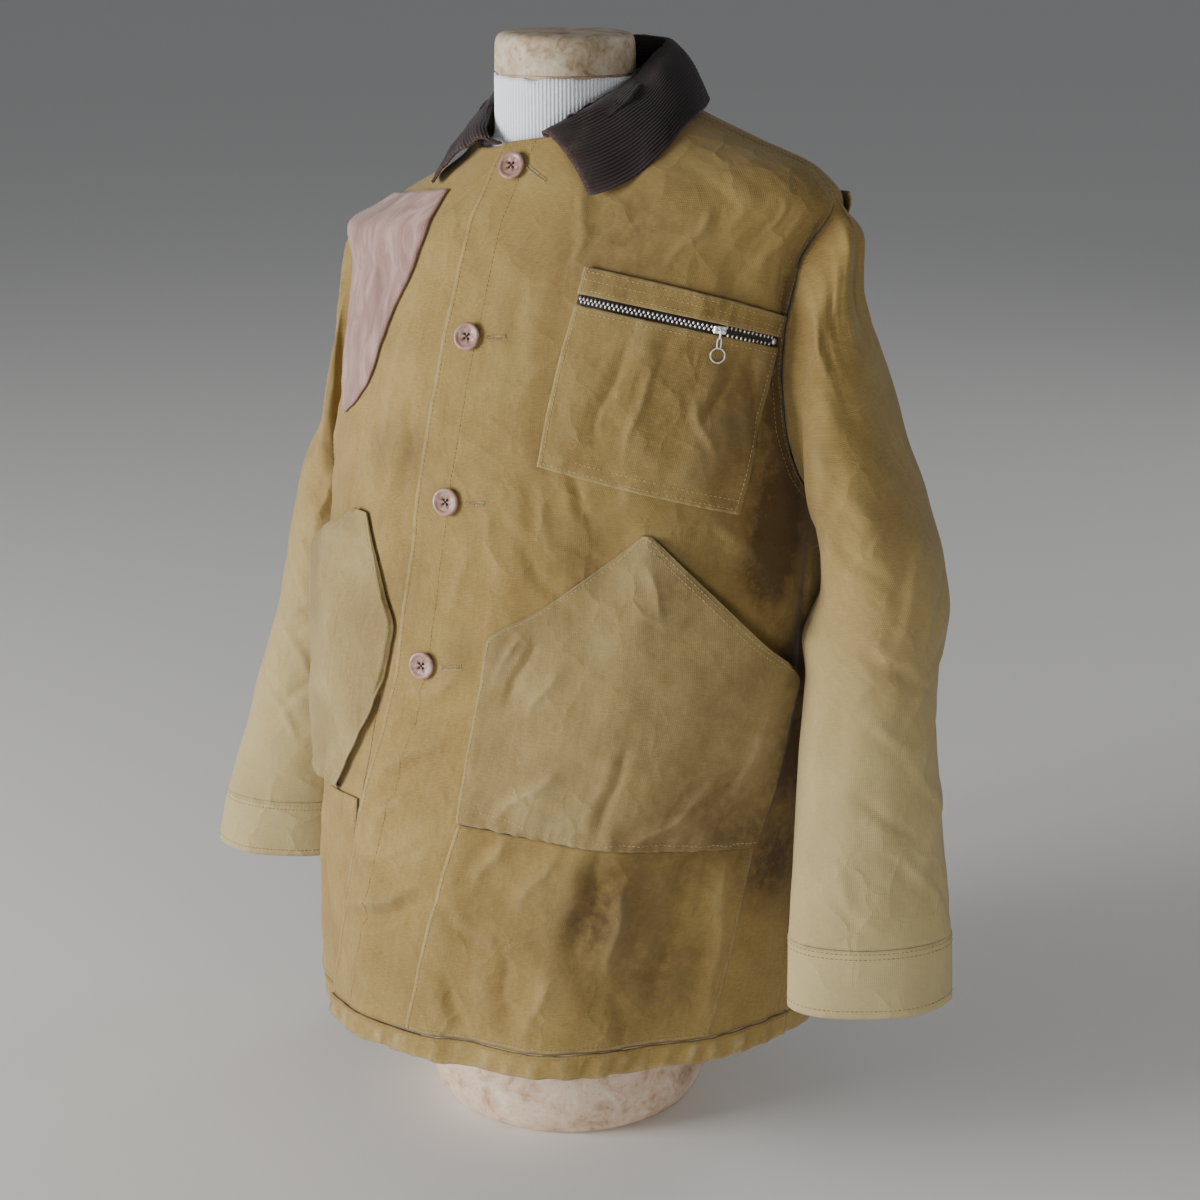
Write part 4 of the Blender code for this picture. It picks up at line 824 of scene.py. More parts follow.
# ---------------------------------------------------------------- finishes
@dataclass(frozen=True)
class DuckFinish:
    """Cotton duck: a plain weave of doubled yarns, dyed tan and washed pale on its crests, darkened by stains and
    painted shade, and paled by wash fading and painted light.
    """

    name: str = "cotton_duck"
    deep: str = "#7A5E2A"
    middle: str = "#91763B"
    pale: str = "#A58D50"
    worn: str = "#CDC092"
    # colour of the stains and of the painted shade under the arm and on the shaded front
    soil_and_shade_colour: str = "#503B1C"
    yarn_mm: float = 1.5  # the real yarns are 0.6 mm apart, too fine to show from here
    streak_mm: tuple[float, float] = (5.0, 160.0)
    patch_mm: float = 70.0
    crumple_mm: float = 14.0
    crease_mm: float = 30.0

    def build(self) -> Material:
        """The material: cloudy dye, slubs along the warp, worn crests, stains with painted shade, painted light on the
        lower sleeves, weave and fine crumple.
        """
        made, tree, shader = new_shader(self.name, 0.88, sheen=0.12)
        cloud = noise(tree, object_coordinates(tree, self.patch_mm), 5.0, 0.6, 0.6)
        streak = noise(tree, cloth_coordinates(tree, *self.streak_mm), 3.0, 0.5)
        fine = noise(tree, cloth_coordinates(tree, 1.1, 9.0), 2.0, 0.6)
        dye = shade_ramp(tree, cloud, ((0.22, self.deep), (0.5, self.middle), (0.8, self.pale)))
        dye = mix_colour(tree, spread_map(tree, streak, 0.35, 0.7, 0.0, 0.28), dye, from_hex(self.pale))
        dye = mix_colour(tree, spread_map(tree, fine, 0.35, 0.75, 0.0, 0.42), dye, from_hex(self.deep))
        slub = noise(tree, cloth_coordinates(tree, 6.0, 1.0), 2.0, 0.6)
        dye = mix_colour(tree, spread_map(tree, slub, 0.4, 0.75, 0.0, 0.16), dye, from_hex(self.worn))
        patchy = noise(tree, object_coordinates(tree, 9.0), 4.0, 0.65)
        # Stains, and painted shade where the cloth lies in shade, darken the dye.
        stain_and_shade = multiply(tree, attribute(tree, "soil"), spread_map(tree, patchy, 0.3, 0.6, 0.55, 1.0))
        dye = mix_colour(tree, stain_and_shade, dye, from_hex(self.soil_and_shade_colour))
        rubbed = multiply(tree, attribute(tree, "wear"), spread_map(tree, patchy, 0.35, 0.62, 0.1, 1.0))
        # Painted light, partly wash fading: the lower sleeves and the cuffs go paler.
        dye = mix_colour(tree, attribute(tree, "fade"), dye, from_hex(self.worn))
        dye = mix_colour(tree, rubbed, dye, from_hex(self.worn))
        tree.links.new(dye, shader.inputs["Base Color"])
        yarns = self.weave(tree)
        crumple = noise(tree, object_coordinates(tree, self.crumple_mm), 5.0, 0.6, 0.8)
        normal = raise_surface(tree, crumple, 1.0, 0.4)
        normal = raise_surface(tree, self.creases(tree), 1.7, 0.7, normal)
        tree.links.new(raise_surface(tree, yarns, 0.2, 0.65, normal), shader.inputs["Normal"])
        return made

    def creases(self, tree: Tree) -> Socket:
        """Height of the fine sharp creases: a broken network of lines, strong in some places only."""
        place = object_coordinates(tree, self.crease_mm)
        shift = add_node(tree, "ShaderNodeTexNoise", inputs={"Vector": place, "Scale": 0.9, "Detail": 3.0})
        bent = add_node(tree, "ShaderNodeMixRGB", {"blend_type": "ADD"},
                        {"Fac": 0.75, "Color1": place, "Color2": shift.outputs["Color"]})
        cells = add_node(tree, "ShaderNodeTexVoronoi", {"feature": "DISTANCE_TO_EDGE"},
                         {"Vector": bent.outputs["Color"], "Scale": 1.0, "Randomness": 1.0})
        line = spread_map(tree, cells.outputs["Distance"], 0.0, 0.14, 0.25, 0.0)
        facet = spread_map(tree, cells.outputs["Distance"], 0.0, 0.6, 0.75, 0.0)
        both = add_node(tree, "ShaderNodeMath", {"operation": "ADD"}, {0: line, 1: facet}).outputs[0]
        where = spread_map(tree, noise(tree, object_coordinates(tree, 80.0), 2.0), 0.36, 0.6, 0.15, 1.0)
        return multiply(tree, both, where)

    def weave(self, tree: Tree) -> Socket:
        """Height of the yarns: two crossing sets of rounded bands."""
        place = cloth_coordinates(tree, self.yarn_mm, self.yarn_mm)
        bands = [add_node(tree, "ShaderNodeTexWave", {"wave_type": "BANDS", "bands_direction": way},
                          {"Vector": place, "Scale": BAND_SCALE, "Distortion": 0.6, "Detail": 1.0}).outputs["Fac"]
                 for way in ("X", "Y")]
        return multiply(tree, bands[0], bands[1])


@dataclass(frozen=True)
class PileFinish:
    """Corduroy: cut cotton pile in wales, soft and light-catching on the crests, bare and pale where rubbed."""

    name: str = "cotton_corduroy"
    root_shade: str = "#0D0707"
    crest: str = "#2B1A16"
    rubbed: str = "#5C4842"

    def build(self) -> Material:
        """The material: painted shade at the roots between the wales, lighter crests, fuzz and rubbed edges."""
        made, tree, shader = new_shader(self.name, 0.95, sheen=0.12)
        pile = noise(tree, object_coordinates(tree, 2.2), 4.0, 0.7)
        cloud = noise(tree, object_coordinates(tree, 35.0), 3.0, 0.5)
        # Painted shade: the colour goes dark at the roots between the wales.
        crest = multiply(tree, attribute(tree, "wale"), spread_map(tree, pile, 0.25, 0.7, 0.45, 1.0))
        shade = mix_colour(tree, crest, from_hex(self.root_shade), from_hex(self.crest))
        shade = mix_colour(tree, spread_map(tree, cloud, 0.4, 0.7, 0.0, 0.25), shade, from_hex(self.crest))
        bare = multiply(tree, attribute(tree, "wear"), spread_map(tree, pile, 0.35, 0.65, 0.2, 1.0))
        tree.links.new(mix_colour(tree, bare, shade, from_hex(self.rubbed)), shader.inputs["Base Color"])
        tree.links.new(raise_surface(tree, pile, 0.5, 0.7), shader.inputs["Normal"])
        return made


@dataclass(frozen=True)
class SuedeFinish:
    """Split suede: a raised nap on hide, brushed in patches, dusty and rubbed smooth at its crests."""

    name: str = "split_suede"
    deep: str = "#7C5A52"
    middle: str = "#9C7A71"
    pale: str = "#B5968D"

    def build(self) -> Material:
        """The material: brushed patches, nap and a few scuffs."""
        made, tree, shader = new_shader(self.name, 0.93, sheen=0.25)
        cloud = noise(tree, cloth_coordinates(tree, 14.0, 34.0), 5.0, 0.62, 0.7)
        nap = noise(tree, object_coordinates(tree, 1.6), 4.0, 0.7)
        shade = shade_ramp(tree, cloud, ((0.3, self.deep), (0.5, self.middle), (0.68, self.pale)))
        shade = mix_colour(tree, spread_map(tree, nap, 0.35, 0.7, 0.0, 0.25), shade, from_hex(self.pale))
        shade = mix_colour(tree, attribute(tree, "soil"), shade, from_hex(self.deep))
        tree.links.new(shade, shader.inputs["Base Color"])
        normal = raise_surface(tree, cloud, 1.0, 0.4)
        tree.links.new(raise_surface(tree, nap, 0.25, 0.6, normal), shader.inputs["Normal"])
        return made


@dataclass(frozen=True)
class KnitFinish:
    """Cotton rib knit: rows of small loops in upright ribs, off-white and matt."""

    name: str = "cotton_rib_knit"
    groove_shade: str = "#DDE0EA"
    rib: str = "#FFFFFF"
    loop_mm: float = 1.6

    def build(self) -> Material:
        """The material: pale ribs, painted shade in the grooves and along the rows of loops, and the loops' bump."""
        made, tree, shader = new_shader(self.name, 0.92, sheen=0.2)
        rows = add_node(tree, "ShaderNodeTexWave", {"wave_type": "BANDS", "bands_direction": "Y"},
                        {"Vector": cloth_coordinates(tree, self.loop_mm, self.loop_mm), "Scale": BAND_SCALE,
                         "Distortion": 1.2})
        loops = rows.outputs["Fac"]
        # Painted shade: the grooves between the ribs and the gaps between the rows of loops are greyer.
        shade = mix_colour(tree, attribute(tree, "wale"), from_hex(self.groove_shade), from_hex(self.rib))
        shade = mix_colour(tree, spread_map(tree, loops, 0.0, 1.0, 0.0, 0.25), shade, from_hex(self.groove_shade))
        tree.links.new(shade, shader.inputs["Base Color"])
        tree.links.new(raise_surface(tree, loops, 0.25, 0.6), shader.inputs["Normal"])
        return made


@dataclass(frozen=True)
class MacheFinish:
    """Papier-mache under old varnish: paper layers gone yellow, mottled brown where it is rubbed through."""

    name: str = "varnished_papier_mache"
    pale: str = "#E6D5C2"
    middle: str = "#D2B79D"
    brown: str = "#9C7A58"
    mottle_mm: float = 26.0
    roughness: float = 0.55

    def build(self) -> Material:
        """The material: pale paper, brown mottling, fine cracks and a dull varnish."""
        made, tree, shader = new_shader(self.name, self.roughness, ior=1.5)
        mottle = noise(tree, object_coordinates(tree, self.mottle_mm), 7.0, 0.68, 0.5)
        speck = noise(tree, object_coordinates(tree, 4.0), 4.0, 0.7)
        shade = shade_ramp(tree, mottle, ((0.3, self.pale), (0.52, self.middle), (0.7, self.brown)))
        shade = mix_colour(tree, spread_map(tree, speck, 0.55, 0.72, 0.0, 0.5), shade, from_hex(self.brown))
        tree.links.new(shade, shader.inputs["Base Color"])
        gloss = spread_map(tree, speck, 0.3, 0.7, self.roughness - 0.1, self.roughness + 0.2)
        tree.links.new(gloss, shader.inputs["Roughness"])
        tree.links.new(raise_surface(tree, speck, 0.35, 0.5), shader.inputs["Normal"])
        return made


@dataclass(frozen=True)
class PlainFinish:
    """A small part's finish: one main colour broken up by fine mottling."""

    name: str
    main: str
    second: str
    roughness: float
    metallic: float = 0.0
    grain_mm: float = 3.0
    bump_mm: float = 0.1

    def build(self) -> Material:
        """The material."""
        made, tree, shader = new_shader(self.name, self.roughness, self.metallic, None if self.metallic else 1.5)
        grain = noise(tree, object_coordinates(tree, self.grain_mm), 4.0, 0.6)
        shade = mix_colour(tree, spread_map(tree, grain, 0.35, 0.65), from_hex(self.main), from_hex(self.second))
        tree.links.new(shade, shader.inputs["Base Color"])
        tree.links.new(raise_surface(tree, grain, self.bump_mm, 0.5), shader.inputs["Normal"])
        return made


class Finish(Enum):
    """Every finish of the coat and of its form."""

    DUCK = DuckFinish()
    POCKET_DUCK = DuckFinish(name="cotton_duck_pocket", deep="#7B6235", middle="#937D4A", pale="#A89564")
    CORDUROY = PileFinish()
    SUEDE = SuedeFinish()
    TAPE = PlainFinish("cotton_zip_tape", "#2A2320", "#3A302A", 0.9, grain_mm=1.5)
    HORN = PlainFinish("casein_button", "#B08C7E", "#937060", 0.32, grain_mm=5.0, bump_mm=0.05)
    STEEL = PlainFinish("nickelled_brass", "#F4F3F2", "#CFCCC8", 0.36, 0.7, grain_mm=2.0, bump_mm=0.04)
    MACHE = MacheFinish()
    CAP = MacheFinish(name="varnished_papier_mache_cap", pale="#DACDBA", middle="#BCA88A", brown="#806344",
                      mottle_mm=18.0)
    KNIT = KnitFinish()
    THREAD = PlainFinish("cotton_thread_tan", "#A38A55", "#80662F", 0.9, grain_mm=2.0)
    PALE_THREAD = PlainFinish("cotton_thread_pale", "#C2AF83", "#957C4C", 0.9, grain_mm=2.0)
    DARK_THREAD = PlainFinish("cotton_thread_dark", "#3A2722", "#20140F", 0.85, grain_mm=2.0)
    # Dark brown for the painted shadow of the slit.
    SLIT_SHADOW = PlainFinish("painted_slit_shadow", "#5A4536", "#3D2E25", 0.92, grain_mm=3.0)


class Workshop:
    """Holds the material of each finish and adds objects that wear one."""

    def __init__(self) -> None:
        """Starts with no material built."""
        self.materials: dict[Finish, Material] = {}

    def material(self, finish: Finish) -> Material:
        """The material of a finish, built at its first use."""
        if finish not in self.materials:
            self.materials[finish] = finish.value.build()
        return self.materials[finish]

    def add(self, name: str, mesh: Mesh, finish: Finish) -> Piece:
        """An object for a mesh, with its finish."""
        if not mesh.materials:
            mesh.materials.append(self.material(finish))
        obj = bpy.data.objects.new(name, mesh)
        bpy.context.scene.collection.objects.link(obj)
        return obj


def settle(obj: Piece, body: str, nodes: Sequence[str] = ()) -> Piece:
    """Says what a finished piece rides on and the CAD nodes that it stands for."""
    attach(obj, body)
    if nodes:
        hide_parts(*nodes)
    LOG.info("%s: %d faces, rides on %s", obj.name, len(obj.data.polygons), body)
    return obj


# ---------------------------------------------------------------- cloth
@dataclass
class ClothSheet:
    """A piece of cloth as a grid: rows run up, columns run towards the wearer's left."""

    name: str
    points: Array
    wall: float
    wrap: bool = False
    # stains, with painted shade where the cloth lies in shade
    soil: Optional[Array] = None
    wear: Optional[Array] = None
    wale: Optional[Array] = None
    # paler lower sleeves and cuffs: painted light, partly wash fading
    fade: Optional[Array] = None
    sewn: tuple[str, ...] = ("start", "end", "bottom", "top")
    least_size: float = 0.0101  # a tape that shows less than this is declared as wide as this
    edge_wear: float = 0.26

    def arcs(self) -> tuple[Array, Array]:
        """Distances in metres along each row from its first column, and up each column from its first row."""
        steps = np.linalg.norm(np.diff(self.points, axis=1), axis=-1)
        across = np.concatenate([np.zeros((len(self.points), 1)), np.cumsum(steps, axis=1)], axis=1)
        rises = np.linalg.norm(np.diff(self.points, axis=0), axis=-1)
        along = np.concatenate([np.zeros((1, self.points.shape[1])), np.cumsum(rises, axis=0)], axis=0)
        return across, along

    def edge_distance(self) -> Array:
        """Distance of each point from the nearest sewn edge."""
        across, along = self.arcs()
        gone = {"start": across, "end": across[:, -1:] - across, "bottom": along, "top": along[-1:] - along}
        chosen = [gone[side] for side in self.sewn if not (self.wrap and side in ("start", "end"))]
        return np.minimum.reduce(chosen) if chosen else np.full(across.shape, 1.0)

    def mesh(self) -> Mesh:
        """The mesh of the outer face, with its UV map in metres, its wear, and attributes for stains with painted
        shade, for wales and for painted light.
        """
        rows, cols = self.points.shape[:2]
        index = np.arange(rows * cols).reshape(rows, cols)
        span = cols if self.wrap else cols - 1
        left, right = index[:, :span], np.roll(index, -1, axis=1)[:, :span]
        faces = np.stack([left[:-1], right[:-1], right[1:], left[1:]], -1).reshape(-1, 4)
        mesh = bpy.data.meshes.new(self.name)
        mesh.from_pydata(self.points.reshape(-1, 3).tolist(), [], faces.tolist())
        mesh.shade_smooth()
        across, along = self.arcs()
        middle = across[:, cols // 2:cols // 2 + 1] if not self.wrap else 0.0
        u, v = across - middle, along
        if self.wrap:
            closing = np.linalg.norm(self.points[:, 0] - self.points[:, -1], axis=-1)
            u = np.concatenate([u, (u[:, -1] + closing)[:, None]], axis=1)
            v = np.concatenate([v, v[:, :1]], axis=1)
        else:
            u, v = u[:, :cols], v[:, :cols]
        corner = [(slice(0, -1), slice(0, span)), (slice(0, -1), slice(1, span + 1)),
                  (slice(1, None), slice(1, span + 1)), (slice(1, None), slice(0, span))]
        uv = np.stack([np.stack([u[c], v[c]], -1) for c in corner], -2).reshape(-1)
        mesh.uv_layers.new(name="cloth").data.foreach_set("uv", uv.astype(np.float32))
        edge = self.edge_distance()
        worn = self.edge_wear * np.exp(-edge / 0.002) + (0.0 if self.wear is None else self.wear)
        fields = {"wear": np.clip(worn, 0, 1), "soil": self.soil, "wale": self.wale, "fade": self.fade}
        for name, values in fields.items():
            if values is not None:
                data = np.broadcast_to(values, (rows, cols)).astype(np.float32).ravel()
                mesh.attributes.new(name, "FLOAT", "POINT").data.foreach_set("value", data)
        return mesh

    def inset(self, side: str, distance: float, start: float = 0.0, end: float = 1.0) -> tuple[Array, Array]:
        """A line on the cloth that runs beside one edge.

        Args:
            side: The edge: start, end, bottom or top.
            distance: Metres in from the edge.
            start: Share of the edge where the line starts.
            end: Share where it ends.

        Returns:
            Points and outward normals.
        """
        normals = grid_normals(self.points, self.wrap)
        across, along = self.arcs()
        if side in ("start", "end"):
            table, grid, face = across, self.points, normals
        else:
            table, grid, face = along.T, self.points.transpose(1, 0, 2), normals.transpose(1, 0, 2)
        if side in ("end", "top"):
            table, grid, face = table[:, -1:] - table[:, ::-1], grid[:, ::-1], face[:, ::-1]
        lines, outs = [], []
        for places, row, out in zip(table, grid, face):
            lines.append([np.interp(distance, places, row[:, k]) for k in range(3)])
            outs.append([np.interp(distance, places, out[:, k]) for k in range(3)])
        points, faces = np.array(lines), unit(np.array(outs))
        if self.wrap and side in ("bottom", "top"):
            points, faces = np.concatenate([points, points[:1]]), np.concatenate([faces, faces[:1]])
        low, high = int(round(start * (len(points) - 1))), int(round(end * (len(points) - 1)))
        return points[low:high + 1], faces[low:high + 1]


def make_cloth(shop: Workshop, sheet: ClothSheet, finish: Finish) -> Piece:
    """Args:
        shop: The workshop that holds the materials.
        sheet: The cloth's grid.
        finish: Its finish.

    Returns:
        The finished object.
    """
    obj = shop.add(f"{sheet.name}_cloth", sheet.mesh(), finish)
    shell = obj.modifiers.new("wall", "SOLIDIFY")
    shell.thickness = sheet.wall
    shell.offset = -1.0
    settle(obj, "coat_on_form", (sheet.name,))
    return obj


# ---------------------------------------------------------------- small things that repeat along lines
@dataclass
class Scatter:
    """Places for one small shape: where each stands, its outward direction and the way that it runs."""

    places: list[Array] = field(default_factory=list)
    faces: list[Array] = field(default_factory=list)
    runs: list[Array] = field(default_factory=list)

    def along(self, line: tuple[Array, Array], pitch: float, lift: float = 0.0, across: bool = False,
              side: float = 0.0, lead: float = 0.5) -> None:
        """Adds evenly spaced places along a line.

        Args:
            line: Points and outward normals.
            pitch: Metres from one to the next.
            lift: Metres off the cloth.
            across: True if each shape lies across the line.
            side: Metres to the line's right.
            lead: Share of a pitch before the first.
        """
        points, normals = line
        steps = np.linalg.norm(np.diff(points, axis=0), axis=-1)
        travelled = np.concatenate([[0.0], np.cumsum(steps)])
        at = np.arange(pitch * lead, travelled[-1], pitch)
        if not len(at):
            return
        place = np.stack([np.interp(at, travelled, points[:, k]) for k in range(3)], -1)
        face = unit(np.stack([np.interp(at, travelled, normals[:, k]) for k in range(3)], -1))
        ahead = np.stack([np.interp(at + pitch * 0.3, travelled, points[:, k]) for k in range(3)], -1)
        behind = np.stack([np.interp(at - pitch * 0.3, travelled, points[:, k]) for k in range(3)], -1)
        run = unit(ahead - behind)
        right = unit(np.cross(run, face))
        self.places.append(place + face * lift + right * side)
        self.faces.append(face)
        self.runs.append(right if across else run)

    def one(self, place: Array, face: Array, run: Array) -> None:
        """Adds a single place."""
        self.places.append(np.array([place]))
        self.faces.append(np.array([face]))
        self.runs.append(np.array([run]))

    def carrier(self, name: str) -> Piece:
        """A mesh of loose points that carries the directions as attributes."""
        places, faces, runs = (np.concatenate(part) for part in (self.places, self.faces, self.runs))
        mesh = bpy.data.meshes.new(name)
        mesh.from_pydata(places.tolist(), [], [])
        for label, values in (("face", faces), ("run", runs)):
            data = mesh.attributes.new(label, "FLOAT_VECTOR", "POINT").data
            data.foreach_set("vector", values.astype(np.float32).ravel())
        obj = bpy.data.objects.new(name, mesh)
        bpy.context.scene.collection.objects.link(obj)
        return obj


class Grain(Enum):
    """The small shape that a scatter repeats."""

    STITCH = "a rounded run of thread"
    TOOTH = "a stamped zip tooth"


def scatter_tree(grain: Grain) -> Tree:
    """Geometry nodes that put one small shape on every point, turned to the point's own directions.

    Args:
        grain: The shape.

    Returns:
        The tree, with inputs Length, Width, Height, Uneven and Finish.
    """
    tree = bpy.data.node_groups.new(f"repeat_{grain.name.lower()}", "GeometryNodeTree")
    tree.interface.new_socket("Geometry", in_out="INPUT", socket_type="NodeSocketGeometry")
    for name in ("Length", "Width", "Height", "Uneven"):
        tree.interface.new_socket(name, in_out="INPUT", socket_type="NodeSocketFloat")
    tree.interface.new_socket("Finish", in_out="INPUT", socket_type="NodeSocketMaterial")
    tree.interface.new_socket("Geometry", in_out="OUTPUT", socket_type="NodeSocketGeometry")
    given = add_node(tree, "NodeGroupInput").outputs
    size = add_node(tree, "ShaderNodeCombineXYZ", inputs={0: given["Length"], 1: given["Width"], 2: given["Height"]})
    if grain is Grain.STITCH:
        shape = add_node(tree, "GeometryNodeMeshUVSphere", inputs={"Segments": 6, "Rings": 3, "Radius": 0.5})
        turned = add_node(tree, "GeometryNodeTransform",
                          inputs={"Geometry": shape.outputs["Mesh"], "Rotation": (0.0, math.pi / 2, 0.0)})
    else:
        shape = add_node(tree, "GeometryNodeMeshCylinder", inputs={"Vertices": 8, "Radius": 0.5, "Depth": 1.0})
        turned = add_node(tree, "GeometryNodeTransform", inputs={"Geometry": shape.outputs["Mesh"]})
    shaped = add_node(tree, "GeometryNodeTransform",
                      inputs={"Geometry": turned.outputs["Geometry"], "Scale": size.outputs[0]})
    face = add_node(tree, "GeometryNodeInputNamedAttribute", {"data_type": "FLOAT_VECTOR"}, {"Name": "face"})
    run = add_node(tree, "GeometryNodeInputNamedAttribute", {"data_type": "FLOAT_VECTOR"}, {"Name": "run"})
    turn = add_node(tree, "FunctionNodeAxesToRotation", {"primary_axis": "Z", "secondary_axis": "X"},
                    {0: face.outputs["Attribute"], 1: run.outputs["Attribute"]})
    low = add_node(tree, "ShaderNodeMath", {"operation": "SUBTRACT"}, {0: 1.0, 1: given["Uneven"]})
    high = add_node(tree, "ShaderNodeMath", {"operation": "ADD"}, {0: 1.0, 1: given["Uneven"]})
    vary = add_node(tree, "FunctionNodeRandomValue", {"data_type": "FLOAT"},
                    {2: low.outputs[0], 3: high.outputs[0], "Seed": 7})
    placed = add_node(tree, "GeometryNodeInstanceOnPoints", inputs={
        "Points": given["Geometry"], "Instance": shaped.outputs["Geometry"], "Rotation": turn.outputs[0],
        "Scale": vary.outputs[1]})
    real = add_node(tree, "GeometryNodeRealizeInstances", inputs={"Geometry": placed.outputs["Instances"]})
    soft = add_node(tree, "GeometryNodeSetShadeSmooth", inputs={"Geometry": real.outputs["Geometry"]})
    dressed = add_node(tree, "GeometryNodeSetMaterial",
                       inputs={"Geometry": soft.outputs["Geometry"], "Material": given["Finish"]})
    add_node(tree, "NodeGroupOutput", inputs={"Geometry": dressed.outputs["Geometry"]})
    return tree


@dataclass(frozen=True)
class Repeat:
    """A small shape repeated over a scatter, in real sizes."""

    grain: Grain
    length: float
    width: float
    height: float
    uneven: float = 0.12

    def build(self, shop: Workshop, name: str, scatter: Scatter, finish: Finish, slot: str) -> Piece:
        """Runs the tree, keeps its result as a plain mesh and lets it ride with the coat."""
        obj = scatter.carrier(name + "_points")
        tree = scatter_tree(self.grain)
        repeat = obj.modifiers.new("repeat", "NODES")
        repeat.node_group = tree
        values = {"Length": self.length, "Width": self.width, "Height": self.height, "Uneven": self.uneven,
                  "Finish": shop.material(finish)}
        for item in tree.interface.items_tree:
            if item.item_type == "SOCKET" and item.in_out == "INPUT" and item.name in values:
                repeat[item.identifier] = values[item.name]
        graph = bpy.context.evaluated_depsgraph_get()
        mesh = bpy.data.meshes.new_from_object(obj.evaluated_get(graph))
        bpy.data.objects.remove(obj)
        mesh.name = name
        return settle(shop.add(name, mesh, finish), "coat_on_form")


@dataclass
class Threads:
    """The stitch lines of the whole coat, with the painted shadow of the slit and the dark discs in the buttons' holes,
    gathered while its pieces are made.
    """

    cloth: Scatter = field(default_factory=Scatter)
    pockets: Scatter = field(default_factory=Scatter)
    leather: Scatter = field(default_factory=Scatter)
    holes: Scatter = field(default_factory=Scatter)
    crosses: Scatter = field(default_factory=Scatter)
    # the slit's painted shadow
    slit_shadows: Scatter = field(default_factory=Scatter)
    # dark discs in the buttons' holes: partly the thread, partly painted shade in the holes
    hole_shade_plugs: Scatter = field(default_factory=Scatter)
    pitch: float = 0.0036
    lift: float = 0.00012

    def build(self, shop: Workshop) -> None:
        """Turns the gathered lines into thread."""
        run = Repeat(Grain.STITCH, 0.0028, 0.00075, 0.0005)
        worked = Repeat(Grain.STITCH, 0.0024, 0.0007, 0.0006, 0.3)
        cross = Repeat(Grain.STITCH, 0.006, 0.0008, 0.0008, 0.05)
        hole_shade_plug = Repeat(Grain.TOOTH, 0.0022, 0.0022, 0.0008, 0.0)
        shadow_run = Repeat(Grain.STITCH, 0.007, 0.0022, 0.0004, 0.1)
        for name, repeat, scatter, finish, slot in (
                ("stitching_coat", run, self.cloth, Finish.THREAD, "duck"),
                ("stitching_pockets", run, self.pockets, Finish.PALE_THREAD, "duck"),
                ("stitching_patch", run, self.leather, Finish.PALE_THREAD, "suede"),
                ("buttonhole_thread", worked, self.holes, Finish.PALE_THREAD, "duck"),
                ("button_thread", cross, self.crosses, Finish.DARK_THREAD, "button"),
                # Dark discs in the button holes: partly thread, partly painted shade in the holes.
                ("button_hole_thread", hole_shade_plug, self.hole_shade_plugs, Finish.DARK_THREAD, "button"),
                # The slit beside the torn pocket is a painted shadow: a flat dark run of cloth where the slit shows
                # only shade.
                ("slit_lining", shadow_run, self.slit_shadows, Finish.SLIT_SHADOW, "duck")):
            repeat.build(shop, name, scatter, finish, slot)


@dataclass
class Maker:
    """What each class that makes pieces of the coat works with."""

    shop: Workshop
    threads: Threads
    body: CoatBody = CoatBody()
    single: float = 0.003  # a stitch line, metres in from an edge
    double: tuple[float, float] = (0.003, 0.01)

    def facing(self, angle: Array, height: Array) -> tuple[Array, Array]:
        """The way round the trunk at a place, and the trunk's outward direction there."""
        side = self.body.base(angle + 0.5, height) - self.body.base(angle - 0.5, height)
        rise = self.body.base(angle, height + 0.002) - self.body.base(angle, height - 0.002)
        return unit(side), unit(np.cross(side, rise))

    def cloth(self, sheet: ClothSheet, finish: Finish, slot: str, held: str, *rests_on: str) -> None:
        """Builds a piece of cloth."""
        make_cloth(self.shop, sheet, finish)

    def stitch(self, scatter: Scatter, sheet: ClothSheet, sides: Sequence[str], *insets: float,
               span: tuple[float, float] = (0.0, 1.0)) -> None:
        """Adds stitch lines beside edges of a piece, over a span of each edge."""
        for side in sides:
            for inset in insets:
                scatter.along(sheet.inset(side, inset, *span), self.threads.pitch, self.threads.lift)


